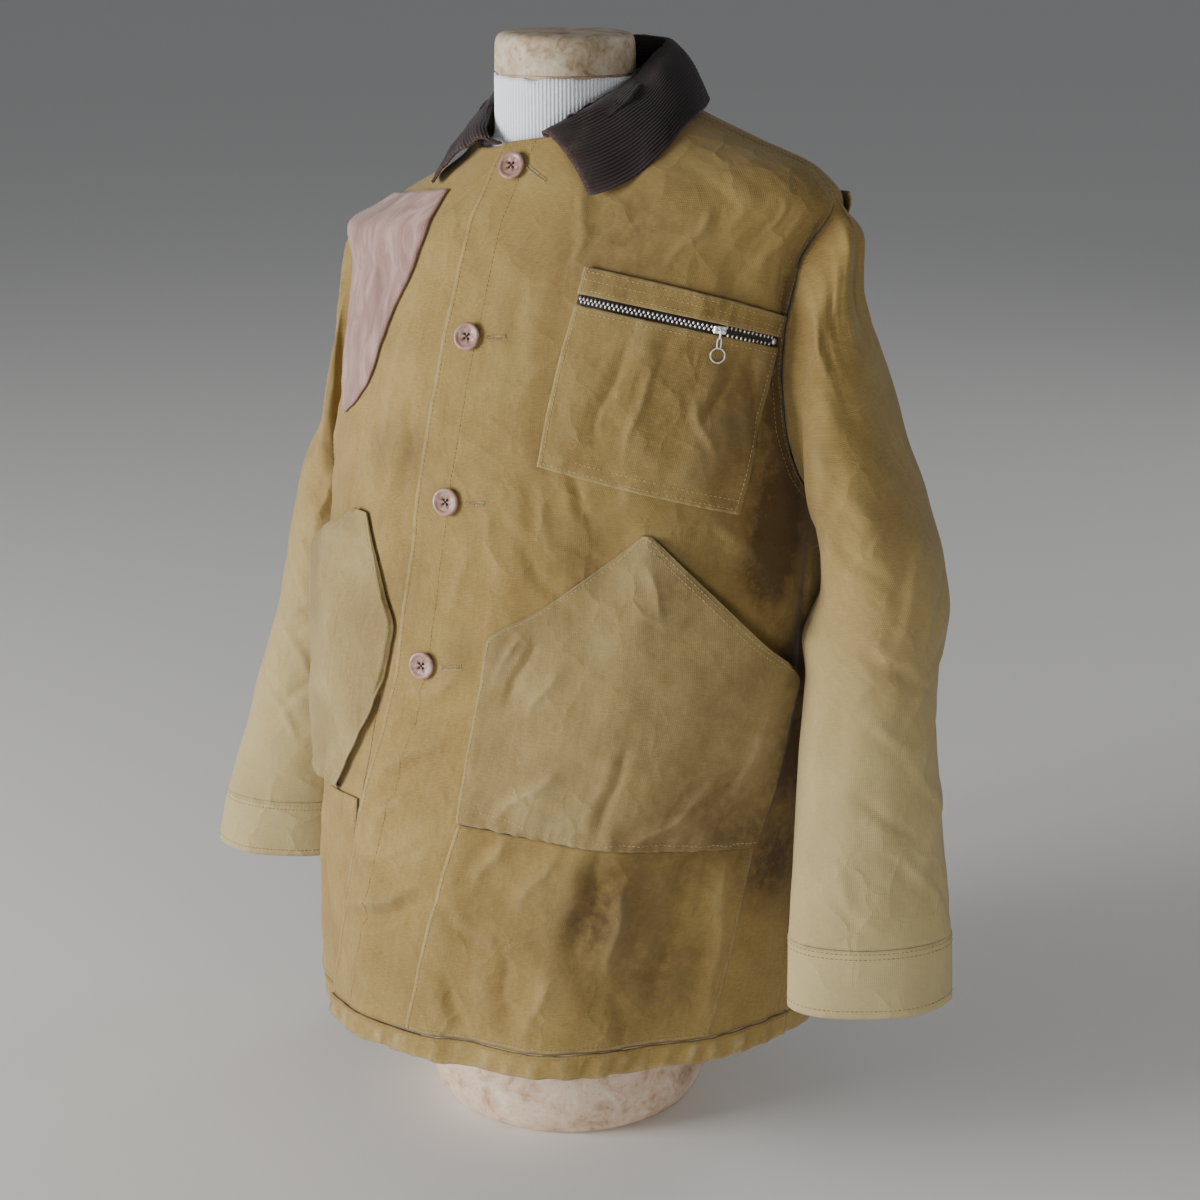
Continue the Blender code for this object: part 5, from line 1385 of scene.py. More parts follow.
@dataclass
class Trunk(Maker):
    """The two fronts, the back, their hems and the pleats behind the armholes."""

    front_columns: int = 122
    back_columns: int = 118
    rows: int = 204
    hem_rows: int = 9
    hem_pucker: float = 0.0007
    hem_wave: float = 0.0012
    hem_line: float = 0.002
    hem_ease: float = 0.12  # degrees between a hem's end and the side seam
    band_lines: tuple[float, float] = (0.004, 0.034)
    band_top: float = 0.24  # share of the upper edge that the button band takes

    def heights(self) -> Array:
        """Heights of the panels' rows, closer at the shoulder."""
        lower = np.linspace(HEM_BOTTOM + HEM_BAND + SEAM_GAP, 0.745, self.rows - 50)
        return np.concatenate([lower, np.linspace(0.745, NECK_TOP, 51)[1:]])

    def outer_edge(self, heights: Array, side: str) -> Array:
        """Angle of a panel's outer edge: side seam, armhole, then shoulder seam."""
        armhole = follow(ARMHOLE, ARMHOLE_COLUMNS, side, heights)
        gap = math.degrees(SEAM_GAP / 2 / BODY_RADIUS)
        ease = np.where(heights > ARMHOLE[-1][0] - 0.004, 0.25, gap)
        seam = np.where(heights < ARMHOLE[0][0], SIDE_SEAM, armhole)
        return seam - ease if side == "front" else seam + ease

    def panel(self, name: str, inner: Array, outer: Array, heights: Array, count: int,
              rise: Optional[Callable[[Array, Array], Array]] = None) -> ClothSheet:
        """A panel between two angles at each height."""
        shares = even(count)
        angles = between(inner, outer, shares)
        levels = neck_height(angles, heights[:, None])
        out = rise(angles, levels) if rise else 0.0
        crest = np.clip(self.body.creases(angles, levels) / 0.004, 0, 1)
        return ClothSheet(name, self.body.point(angles, levels, out), DUCK, soil=stains_and_shade_at(angles, levels),
                          wear=0.12 * crest, sewn=("start", "end"))

    def build(self) -> None:
        """Makes the panels, the hems and the pleats."""
        heights = self.heights()
        outer_front, outer_back = self.outer_edge(heights, "front"), self.outer_edge(heights, "back")
        free = follow(FREE_EDGE, FREE_EDGE_COLUMNS, "angle", heights)
        under = np.full_like(heights, UNDERLAP)
        left = self.panel("front_left", free, outer_front, heights, self.front_columns, lap_rise)
        right = self.panel("front_right", -outer_front, under, heights, self.front_columns)
        back = self.panel("back", outer_back, 360.0 - outer_back, heights, self.back_columns)
        for sheet in (left, right, back):
            self.cloth(sheet, Finish.DUCK, "duck", "hung", "form_torso")
        self.stitch(self.threads.cloth, left, ("start",), *self.band_lines)
        self.stitch(self.threads.cloth, left, ("end",), *self.double)
        self.stitch(self.threads.cloth, right, ("start",), *self.double)
        self.stitch(self.threads.cloth, left, ("top",), self.band_lines[0], span=(0.0, self.band_top))
        self.stitch(self.threads.cloth, back, ("start", "end"), *self.double)
        self.build_hems()
        self.build_pleats()

    def build_hems(self) -> None:
        """The turned bands along the lower edge, puckered by their stitching."""
        heights = np.linspace(HEM_BOTTOM, HEM_BOTTOM + HEM_BAND, self.hem_rows)
        free = follow(FREE_EDGE, FREE_EDGE_COLUMNS, "angle", heights)
        seam = np.full_like(heights, SIDE_SEAM - self.hem_ease)
        under = np.full_like(heights, UNDERLAP)
        behind = seam + 2 * self.hem_ease
        bands = (("left", "front_left", free, seam, 200, lap_rise), ("right", "front_right", -seam, under, 200, None),
                 ("back", "back", behind, 360.0 - behind, 280, None))
        for side, panel, inner, outer, count, rise in bands:
            angles = between(inner, outer, even(count))
            levels = heights[:, None] + 0 * angles
            out = 0.0008 + (rise(angles, levels) + 0.0014 if rise else 0.0)
            around = metres_round(angles)
            shirr = ripple(around, 0.2 * levels, 0.014, 21)
            band = np.sin(np.linspace(0.15, 1.0, self.hem_rows) * math.pi)[:, None]
            out = out + self.hem_pucker * (shirr * band + 0.6)
            points = self.body.point(angles, levels, out)
            lower = (1 - even(self.hem_rows))[:, None]
            points[..., 2] += self.hem_wave * ripple(around, 0 * around, 0.03, 22) * lower
            sheet = ClothSheet(f"hem_{side}", points, TURNED, soil=0.5 * stains_and_shade_at(angles, levels),
                               wear=0.35 * np.clip(shirr, 0, 1) * band, sewn=("bottom",))
            self.cloth(sheet, Finish.DUCK, "duck", "hung", panel)
            self.stitch(self.threads.cloth, sheet, ("top",), self.hem_line)

    def build_pleats(self) -> None:
        """The folded pleat behind each armhole."""
        heights = np.linspace(BACK_PLEAT[0][0], BACK_PLEAT[-1][0], 56)
        shares = even(16)
        for side, sign in SIDES:
            inner = follow(BACK_PLEAT, PLEAT_COLUMNS, "inner", heights)
            outer = follow(BACK_PLEAT, PLEAT_COLUMNS, "outer", heights)
            angles = between(inner, outer, shares)
            levels = heights[:, None] + 0 * angles
            puff = 0.001 * ripple(angles * 0.004, levels, 0.05, 31) * np.sin(shares * math.pi)
            points = self.body.point(sign * angles, levels, DUCK + LAY_GAP + 0.0035 * shares + puff)
            sheet = ClothSheet(f"back_pleat_{side}", mirrored(points, -sign), DUCK,
                               soil=stains_and_shade_at(sign * angles, levels), sewn=("start", "end"))
            self.cloth(sheet, Finish.DUCK, "duck", "folded", "back")
            self.stitch(self.threads.cloth, sheet, ("start", "end"), self.single)


@dataclass
class Sleeves(Maker):
    """Both sleeves and their turned cuffs."""

    columns: int = 112
    rows: int = 132
    cuff_rows: int = 16
    crumple: float = 0.0008
    girth: float = 0.36
    head_line: float = 0.004
    crease_share: float = 0.62  # of the depths in the table
    cuff_lines: tuple[float, float] = (0.0025, 0.0065)
    cuff_end_line: float = 0.006
    seam_gap: float = 0.0004    # the drawn sleeve meets the armhole as closely as the seam allows

    def armhole_loop(self, sign: float) -> Array:
        """The armhole seam as a loop: top, front, underarm, back; moved clear of the panels."""
        around = np.linspace(0.0, 2 * math.pi, self.columns, endpoint=False)
        low, high = ARMHOLE[0][0], ARMHOLE[-1][0]
        heights = low + (high - low) * (1 + np.cos(around)) / 2
        front = follow(ARMHOLE, ARMHOLE_COLUMNS, "front", heights)
        back = follow(ARMHOLE, ARMHOLE_COLUMNS, "back", heights)
        points = self.body.point(sign * np.where(np.sin(around) >= 0, front, back), heights)
        return points + unit(points.mean(axis=0) - points) * self.seam_gap

    def section(self, row: Row, sign: float, loop: Array) -> Array:
        """One section of a sleeve, from its table row, as a closed loop of points."""
        around = np.linspace(0.0, 2 * math.pi, self.columns, endpoint=False)
        cut = dict(zip(SLEEVE_COLUMNS, row))
        tilt, turn = math.radians(cut["tilt"]), math.radians(cut["turn"])
        outward = np.array([sign * math.cos(tilt) * math.cos(turn), math.cos(tilt) * math.sin(turn), math.sin(tilt)])
        forward = np.array([sign * math.sin(turn), -math.cos(turn), 0.0])
        centre = np.array([sign * cut["x"], cut["y"], cut["z"]])
        oval = (centre + cut["outward"] * np.cos(around)[:, None] * outward
                + cut["forward"] * np.sin(around)[:, None] * forward)
        carried = loop - loop.mean(axis=0) + centre
        return cut["share"] * carried + (1 - cut["share"]) * oval

    def tube(self, name: str, rings: Array, sign: float, wall: float, **marks: Any) -> ClothSheet:
        """A tube of cloth from rings that run downward."""
        dressed = {key: mirrored(value[::-1], -sign) for key, value in marks.items()}
        return ClothSheet(name, mirrored(rings[::-1], -sign), wall, wrap=True, sewn=("bottom", "top"), **dressed)

    def build(self) -> None:
        """Makes both sleeves with their creases, and the cuffs below them."""
        for side, sign in SIDES:
            loop = self.armhole_loop(sign)
            rings = np.array([loop] + [self.section(row, sign, loop) for row in SLEEVE_SECTIONS[side]])
            rings = resample(rings, self.rows, 0)
            last = rings[-1].copy()
            share = np.linspace(0.0, 1.0, self.columns, endpoint=False)[None, :] + 0 * rings[..., 0]
            fall = np.concatenate([[0.0], np.cumsum(np.linalg.norm(np.diff(rings, axis=0), axis=-1).mean(axis=1))])
            down = fall[:, None] + 0 * share
            depth = self.crease_share * crease_field(share, down, SLEEVE_CREASES[side], self.girth, 1.0)
            depth = depth + self.crumple * ripple(share * self.girth, down, 0.05, 41 if sign > 0 else 42)
            seam_free = smooth(down, 0.001, 0.014) * (1 - smooth(down, fall[-1] - 0.03, fall[-1] - 0.006))
            inner_side = 1 - 0.75 * np.exp(-((share - 0.5) / 0.13) ** 2)
            depth = depth * seam_free * inner_side
            outward = mirrored(grid_normals(mirrored(rings[::-1], -sign), True)[::-1], -sign)
            marks = 0.35 * np.clip(ripple(share * self.girth, down, 0.16, 43) - 0.25, 0, 1)
            marks = marks * (1 - smooth(down, 0.1, 0.4))
            # Paler towards the cuff: painted light on the lit lower sleeve, partly wash fading.
            fade = 0.4 * smooth(down, 0.06, 0.9 * fall[-1])
            sheet = self.tube(f"sleeve_{side}", rings + outward * depth[..., None], sign, DUCK,
                              soil=marks, wear=0.16 * np.clip(depth / 0.004, 0, 1), fade=fade)
            self.cloth(sheet, Finish.DUCK, "duck", "hung", "front_" + side)
            self.stitch(self.threads.cloth, sheet, ("top",), self.head_line)
            self.build_cuff(side, sign, last)

    def build_cuff(self, side: str, sign: float, last: Array) -> None:
        """The turned cuff: it starts at the sleeve's end and widens a little."""
        drift = np.array([sign * CUFF_DRIFT[0], CUFF_DRIFT[1], -CUFF_LENGTH])
        top = last - np.array([0.0, 0.0, SEAM_GAP])
        outward = unit(top - last.mean(axis=0))
        share = np.linspace(0.0, 1.0, self.columns, endpoint=False)
        levels = []
        for part in even(self.cuff_rows):
            wave = 0.0016 * part * ripple(share * self.girth, np.full(self.columns, part * 0.02), 0.055, 44)
            levels.append(top + outward * (0.0006 + wave[:, None]) + drift * part)
        rings = np.array(levels)
        soil = np.broadcast_to(0.08 * even(self.cuff_rows)[:, None], rings.shape[:2])
        # The cuff is painted paler all over: painted light, partly wash fading.
        sheet = self.tube(f"cuff_{side}", rings, sign, TURNED, soil=soil, fade=0.5 + 0.0 * soil)
        self.cloth(sheet, Finish.DUCK, "duck", "hung", "sleeve_" + side)
        self.stitch(self.threads.cloth, sheet, ("top",), *self.cuff_lines)
        self.stitch(self.threads.cloth, sheet, ("bottom",), self.cuff_end_line)


@dataclass
class Collar(Maker):
    """The corduroy collar, with its wales along its length."""

    wale_pitch: float = 0.0031
    wale_depth: float = 0.0007
    rows: int = 190
    columns: int = 104

    def profile(self, share: float, side: str) -> Array:
        """Points from the neck seam up to the roll and down the leaf."""
        sign = 1.0 if side == "left" else -1.0
        value = {name: float(follow(COLLARS[side], COLLAR_COLUMNS, name, share)) for name in COLLAR_COLUMNS[1:]}
        seam = self.body.point(sign * value["seam"], float(neck_height(value["seam"], NECK_TOP)))
        seam = seam + np.array([0.0, 0.0, SEAM_RISE])
        roll = np.array([sign * value["roll_x"], value["roll_y"], value["roll_z"]])
        edge = np.array([sign * value["edge_x"], value["edge_y"], value["edge_z"]])
        outward = unit(np.array([edge[0] - roll[0], edge[1] - roll[1], 0.0]))
        inner = [seam + (roll - seam) * t for t in (0.0, 0.5, 0.88)]
        bend = [roll + outward * 0.0008 + np.array([0, 0, 0.0012]), roll + outward * 0.0044 + np.array([0, 0, 0.0014])]
        leaf = []
        for t in (0.25, 0.5, 0.75, 1.0):
            crown = LEAF_CROWN * 4 * t * (1 - t)
            leaf.append(bend[-1] + (edge - bend[-1]) * t + np.array([0, 0, crown]) + outward * crown * 0.6)
        return np.array(inner + bend + leaf)

    def clear_of_body(self, points: Array, gap: float) -> Array:
        """Moves points that would sink into the trunk outwards, level by level."""
        level, side = points[..., 2], points[..., 0] >= 0
        for _ in range(3):
            lift = follow(BODY_RINGS, BODY_COLUMNS, "lift", level)
            width = np.where(side, follow(BODY_RINGS, BODY_COLUMNS, "left", level),
                             follow(BODY_RINGS, BODY_COLUMNS, "right", level))
            level = points[..., 2] - lift * np.clip(points[..., 0] / np.maximum(width, 1e-6), -1, 1)
        reach = np.where(points[..., 1] <= 0, follow(BODY_RINGS, BODY_COLUMNS, "front", level),
                         follow(BODY_RINGS, BODY_COLUMNS, "back", level))
        ratio = np.hypot(points[..., 0] / (width + gap), points[..., 1] / (reach + gap))
        scale = 1.0 + np.maximum(1 / np.maximum(ratio, 1e-6) - 1, 0) * smooth(NECK_TOP - 0.002 - level, 0.0, 0.018)
        moved = points.copy()
        moved[..., :2] *= scale[..., None]
        return moved

    def build(self) -> None:
        """Makes the collar."""
        shares = np.concatenate([(0.0, 0.05, 0.1, 0.18), np.linspace(0.28, 1.0, 8)])
        left = [self.profile(share, "left") for share in shares]
        right = [self.profile(share, "right") for share in shares[-2::-1]]
        points = np.array(left + right)
        points[:, 4:] = self.clear_of_body(points[:, 4:], CORDUROY + LAY_GAP * 2)
        grid = resample(resample(points.transpose(1, 0, 2)[::-1], self.columns, 1), self.rows, 0)
        sheet = ClothSheet("collar", grid, CORDUROY)
        across, along = sheet.arcs()
        fall = along[-1:] - along
        wave = 0.5 + 0.5 * np.cos(2 * math.pi * along / self.wale_pitch)
        front = np.minimum(across, across[:, -1:] - across)
        pucker = np.exp(-front / 0.016) * ripple(along, 0.3 * front, 0.02, 51) * smooth(along, 0.0, 0.012)
        edge = np.exp(-along / 0.01) * ripple(across, along, 0.028, 52)
        depth = self.wale_depth * (wave - 0.5) + 0.001 * np.clip(pucker, -0.4, 1) + 0.0006 * np.clip(edge, -0.3, 1)
        soft = 0.0008 * crests(across, along, 0.045, 53, -0.2)
        sheet.points = grid + grid_normals(grid) * (depth + soft)[..., None]
        sheet.wale = wave ** 0.7
        sheet.wear = 0.55 * np.exp(-front / 0.006) + 0.25 * np.exp(-((fall - fall.max() * 0.36) / 0.006) ** 2)
        self.cloth(sheet, Finish.CORDUROY, "corduroy", "folded", "front_left", "front_right", "back")


@dataclass
class Patch(Maker):
    """The suede recoil patch on the wearer's right shoulder."""

    def build(self) -> None:
        """Makes the patch with its soft ripples and uneven cut edge."""
        heights = np.linspace(PATCH[0][0], PATCH[-1][0], 84)
        shares = np.linspace(1.0, 0.0, 52)
        inner = follow(PATCH, PATCH_COLUMNS, "inner", heights)
        outer = follow(PATCH, PATCH_COLUMNS, "outer", heights)
        uneven = 0.35 * ripple(heights, 0 * heights, 0.05, 61)
        angles = (inner + uneven)[:, None] + (outer - inner)[:, None] * shares
        levels = heights[:, None] + 0 * angles
        around = metres_round(angles)
        soft = 0.0012 * crests(around, levels, 0.06, 62) * np.sin(shares * math.pi) ** 0.5
        points = self.body.point(angles, levels, SUEDE + LAY_GAP * 1.3 + soft)
        soil = 0.5 * crests(around, 0.4 * levels, 0.05, 63) + 0.5 * smooth(shares, 0.03, 0.0)[None, :]
        sheet = ClothSheet("recoil_patch", points, SUEDE, soil=soil)
        self.cloth(sheet, Finish.SUEDE, "suede", "laid", "front_right")
        self.stitch(self.threads.leather, sheet, ("end", "start"), self.single)


@dataclass
class ChestPocket(Maker):
    """The zipped chest pocket: the band above the zip, the bag below it, the tape and the teeth."""

    columns: int = 96
    tooth_pitch: float = 0.0034
    bag_swell: float = 0.003
    band_rows: int = 14
    bag_rows: int = 66
    line: float = 0.0035                        # the pocket's stitch lines, metres in from its edges
    bag_top_line: float = 0.0045
    bag_second_line: float = 0.0105
    band_second_line: float = 0.0095
    face_rise: float = 0.0016                   # the band and the bag stand this far off the front
    tape_in: float = 0.0006                     # metres of tape left off above and below
    row_rise: float = 0.001                     # each row of teeth, metres above or below the zip's middle
    open_rise: float = 2.5                      # and this many times as far where the zip is open
    teeth: tuple[float, float] = (0.01, 0.955)  # shares of the zip where the teeth start and end
    slider: tuple[float, float] = (0.01, 0.03)  # shares of the zip under the slider, before and behind it

    def corner_grid(self, top: Sequence[Row], bottom: Sequence[Row], rows: int, cols: int) -> tuple[Array, Array]:
        """Angles and heights between a lower and an upper edge, each given by its two ends."""
        up, across = even(rows)[:, None], even(cols)[None, :]
        low = [bottom[0][k] + (bottom[1][k] - bottom[0][k]) * across for k in (0, 1)]
        high = [top[0][k] + (top[1][k] - top[0][k]) * across for k in (0, 1)]
        return low[0] + (high[0] - low[0]) * up, low[1] + (high[1] - low[1]) * up

    def dropped(self, edge: Sequence[Row], fall: float) -> tuple[Row, ...]:
        """An edge moved down."""
        return tuple((angle, height - fall) for angle, height in edge)

    def build(self) -> None:
        """Makes the band, the bag, the tape and the teeth."""
        stand = LAY_GAP + DUCK
        angles, levels = self.corner_grid(CHEST_TOP, CHEST_ZIP, self.band_rows, self.columns)
        around = metres_round(angles)
        pucker = 0.0006 * crests(around, 0.4 * levels, 0.016, 71, -0.2)
        low_edge = 0.001 * (1 - smooth(even(self.band_rows), 0.0, 0.5))[:, None]
        points = self.body.point(angles, levels, stand + self.face_rise + pucker + low_edge)
        band = ClothSheet("chest_pocket_top", points, DUCK, soil=stains_and_shade_at(angles, levels))
        self.cloth(band, Finish.DUCK, "duck", "laid", "front_left")
        angles, levels = self.corner_grid(self.dropped(CHEST_ZIP, ZIP_GAP), CHEST_BOTTOM, self.bag_rows, self.columns)
        up = even(self.bag_rows)[:, None]
        across = even(self.columns)[None, :]
        around = metres_round(angles)
        inside = smooth(across, 0.0, 0.1) * smooth(1 - across, 0.0, 0.1) * smooth(up, 0.0, 0.12)
        slack = crests(0.8 * around, 0.4 * levels, 0.05, 72, -0.5) * 0.0014 * inside
        edge_pucker = 0.0006 * crests(around, levels, 0.014, 73) * np.exp(-up / 0.05)
        out = stand + self.bag_swell * (1 - up) + self.face_rise + slack + edge_pucker
        bag = ClothSheet("chest_pocket_bag", self.body.point(angles, levels, out), DUCK,
                         soil=stains_and_shade_at(angles, levels),
                         wear=0.14 * np.clip(self.body.creases(angles, levels) / 0.003 + slack / 0.002, 0, 1))
        self.cloth(bag, Finish.DUCK, "duck", "laid", "front_left")
        inset = [(angle, height - self.tape_in) for angle, height in CHEST_ZIP]
        angles, levels = self.corner_grid(inset, self.dropped(CHEST_ZIP, ZIP_GAP - self.tape_in), 6, self.columns)
        tape = ClothSheet("zip_tape", self.body.point(angles, levels, LAY_GAP + TAPE), TAPE)
        self.cloth(tape, Finish.TAPE, "tape", "laid", "front_left")
        self.stitch(self.threads.pockets, bag, ("start", "end", "bottom"), self.line)
        self.stitch(self.threads.pockets, bag, ("bottom",), self.bag_second_line)
        self.stitch(self.threads.pockets, bag, ("top",), self.bag_top_line)
        self.stitch(self.threads.pockets, band, ("top",), self.line, self.band_second_line)
        self.stitch(self.threads.pockets, band, ("bottom", "start", "end"), self.line)
        self.build_teeth()

    def zip_line(self, start: float, end: float, up: float, out: float) -> tuple[Array, Array]:
        """A line along the zip, between two shares of it and some metres above its middle."""
        share = np.linspace(start, end, 60)
        angle = CHEST_ZIP[0][0] + (CHEST_ZIP[1][0] - CHEST_ZIP[0][0]) * share
        height = CHEST_ZIP[0][1] + (CHEST_ZIP[1][1] - CHEST_ZIP[0][1]) * share - ZIP_GAP / 2 + up
        return self.body.point(angle, height, out), self.facing(angle, height)[1]

    def build_teeth(self) -> None:
        """Closed teeth up to the slider, then two open rows and the end stop."""
        base = LAY_GAP + TAPE + SEAM_GAP + 0.0007
        teeth = Scatter()
        closed = (self.teeth[0], SLIDER_SHARE - self.slider[0])
        opened = (SLIDER_SHARE + self.slider[1], self.teeth[1])
        for rise, lead in ((self.row_rise, 0.25), (-self.row_rise, 0.75)):
            for span, up in ((closed, rise), (opened, rise * self.open_rise)):
                teeth.along(self.zip_line(*span, up, base), self.tooth_pitch, across=True, lead=lead)
        Repeat(Grain.TOOTH, 0.0028, 0.0015, 0.0014, 0.03).build(self.shop, "zip_teeth", teeth, Finish.STEEL, "steel")
        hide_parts("zip_chain")
        stop = Scatter()
        points, faces = self.zip_line(0.965, 0.975, 0.0, base)
        stop.one(points[0], faces[0], unit(points[-1] - points[0]))
        Repeat(Grain.TOOTH, 0.0036, 0.0052, 0.0018, 0.0).build(self.shop, "zip_stop", stop, Finish.STEEL, "steel")
        for node in ("zip_slider", "zip_pull"):
            obj = bpy.data.objects[node]
            obj.data.materials.clear()
            obj.data.materials.append(self.shop.material(Finish.STEEL))


@dataclass
class LowerPockets(Maker):
    """The two five-sided bellows pockets and the panels below them."""

    rows: int = 84
    columns: int = 122
    panel_bottom: float = 0.1225
    panel_gap: float = 0.0008
    panel_rows: int = 58
    panel_columns: int = 96
    side_lines: tuple[float, float] = (0.006, 0.013)
    bottom_line: float = 0.016
    torn_to: float = 0.42                           # share of the right pocket's inner edge that is torn free
    tacks: tuple[tuple[float, float], ...] = ((0.955, 0.985), (0.62, 0.645))
    tack_in: float = 0.0045
    tack_pitch: float = 0.0009
    tack_lift: float = 0.0003
    slit_top: tuple[float, float] = (-12.6, 0.392)  # angle and height of the slit's upper end
    slit_fall: tuple[float, float] = (1.5, 0.106)   # how far it runs inward and down from there
    slit_pitch: float = 0.003
    slit_lift: float = 0.0002

    def stand(self, up: Array, across: Array, torn: float) -> Array:
        """How far the pocket's face stands off the front: sewn edges return to it, the mouth gapes."""
        sewn_left = np.maximum(smooth(across, 0.0, 0.012), torn * (1 - smooth(up, 0.3, 0.42)))
        mouth = smooth(up, 0.58, 0.7)
        sewn_right = np.maximum(smooth(1 - across, 0.0, 0.012), mouth)
        belly = 0.35 + 0.65 * smooth(across, 0.0, 0.55)
        peak = 1 - 0.75 * smooth(up, 0.7, 1.0)
        gape = MOUTH_GAPE * smooth(across, 0.55, 1.0) * smooth(up, 0.45, 0.66) * (1 - smooth(up, 0.8, 1.0))
        return (POCKET_DEPTH * belly * peak + gape) * sewn_left * smooth(up, 0.0, 0.015) * sewn_right

    def face(self, side: str) -> ClothSheet:
        """The pocket's face: shirred along its bottom, with a pleat line beside its inner edge."""
        sign = 1.0 if side == "left" else -1.0
        edges = np.array((0.003, 0.006, 0.009, 0.012, 0.018))
        up = np.sort(np.concatenate([even(self.rows), edges, 1 - edges]))
        across = np.sort(np.concatenate([even(self.columns), edges, 1 - edges]))
        table = LOWER_POCKETS[side]
        edge = {name: follow(table, POCKET_COLUMNS, name, up)[:, None] for name in POCKET_COLUMNS[1:]}
        angles = edge["inner_angle"] + (edge["outer_angle"] - edge["inner_angle"]) * across
        levels = edge["inner_height"] + (edge["outer_height"] - edge["inner_height"]) * across
        up_all, across_all = up[:, None] + 0 * across, across + 0 * up[:, None]
        around = metres_round(angles)
        above = levels - edge["inner_height"][0]
        stand = self.stand(up_all, across_all, float(side == "right"))
        inside = smooth(across_all, 0.02, 0.12) * smooth(1 - across_all, 0.02, 0.12)
        shirr = crests(around, 0.25 * above, 0.017, 81, -0.5) * np.exp(-np.maximum(up_all - 0.02, 0) / 0.1)
        gather = crests(around, 0.05 * above, 0.0085, 85, -0.4) * np.exp(-up_all / 0.045)
        slack = crests(around, 0.7 * above, 0.075, 82 if sign > 0 else 83, -0.8)
        slack = slack * smooth(up_all, 0.015, 0.06)
        depth = (0.0032 * shirr * smooth(up_all, 0.0, 0.05) + 0.0016 * gather + 0.0008 * slack) * inside
        if side == "left":
            depth = depth + crease_field(angles, levels, LEFT_POCKET_CREASES, DEGREE) * inside
        rise = lap_rise(angles, levels) if sign > 0 else 0.0
        points = self.body.point(sign * angles, levels, LAY_GAP + DUCK + rise + stand + depth)
        soil = stains_and_shade_at(sign * angles, levels) + 0.25 * crests(around, above, 0.09, 84)
        wear = 0.2 * np.clip(depth / 0.003, 0, 1)
        return ClothSheet(f"lower_pocket_{side}", mirrored(points, sign), DUCK,
                          soil=mirrored(soil, sign), wear=mirrored(wear, sign))

    def build(self) -> None:
        """Makes both pockets and both panels."""
        for side, sign in SIDES:
            face = self.face(side)
            self.cloth(face, Finish.POCKET_DUCK, "duck", "laid", "front_" + side)
            inner, outer = ("start", "end") if sign > 0 else ("end", "start")
            self.stitch(self.threads.pockets, face, (inner,), self.side_lines[0],
                        span=(self.torn_to if sign < 0 else 0.02, 0.97))
            self.stitch(self.threads.pockets, face, (outer,), *self.side_lines, span=(0.66, 0.97))
            self.stitch(self.threads.pockets, face, ("bottom",), self.bottom_line, span=(0.03, 0.97))
            for tack in self.tacks:
                self.threads.holes.along(face.inset(outer, self.tack_in, *tack), self.tack_pitch, self.tack_lift, True)
            heights = np.linspace(self.panel_bottom, LOWER_PANEL[-1][0], self.panel_rows)
            shares = even(self.panel_columns)
            low = follow(LOWER_PANEL, PANEL_COLUMNS, "inner", heights)
            high = follow(LOWER_PANEL, PANEL_COLUMNS, "outer", heights)
            angles = between(low, high, shares)
            _, near, near_height, far, far_height = LOWER_POCKETS[side][0]
            top = near_height + (far_height - near_height) * (angles - near) / (far - near) - self.panel_gap
            levels = self.panel_bottom + (top - self.panel_bottom) * even(self.panel_rows)[:, None]
            rise = lap_rise(angles, levels) if sign > 0 else 0.0
            points = self.body.point(sign * angles, levels, LAY_GAP + DUCK + rise)
            crest = np.clip(self.body.creases(sign * angles, levels) / 0.004, 0, 1)
            panel = ClothSheet(f"lower_panel_{side}", mirrored(points, sign), DUCK,
                               soil=mirrored(stains_and_shade_at(sign * angles, levels), sign),
                               wear=mirrored(0.12 * crest, sign), sewn=("start", "end", "bottom"))
            self.cloth(panel, Finish.DUCK, "duck", "laid", "front_" + side)
            self.stitch(self.threads.cloth, panel, ("start", "end", "bottom"), self.single)
        self.add_slit_shadow()

    def add_slit_shadow(self) -> None:
        """Painted shadow: the dark gap of the slit beside the torn pocket's inner edge, drawn as a flat run of dark
        brown cloth.
        """
        share = even(40)
        angle, height = (top - fall * share for top, fall in zip(self.slit_top, self.slit_fall))
        slit = self.body.point(angle, height)
        beside = np.stack([slit, slit + np.array([0.001, 0.0, 0.0])], axis=1)
        self.threads.slit_shadows.along((slit, grid_normals(beside)[:, 0]), self.slit_pitch, self.slit_lift)


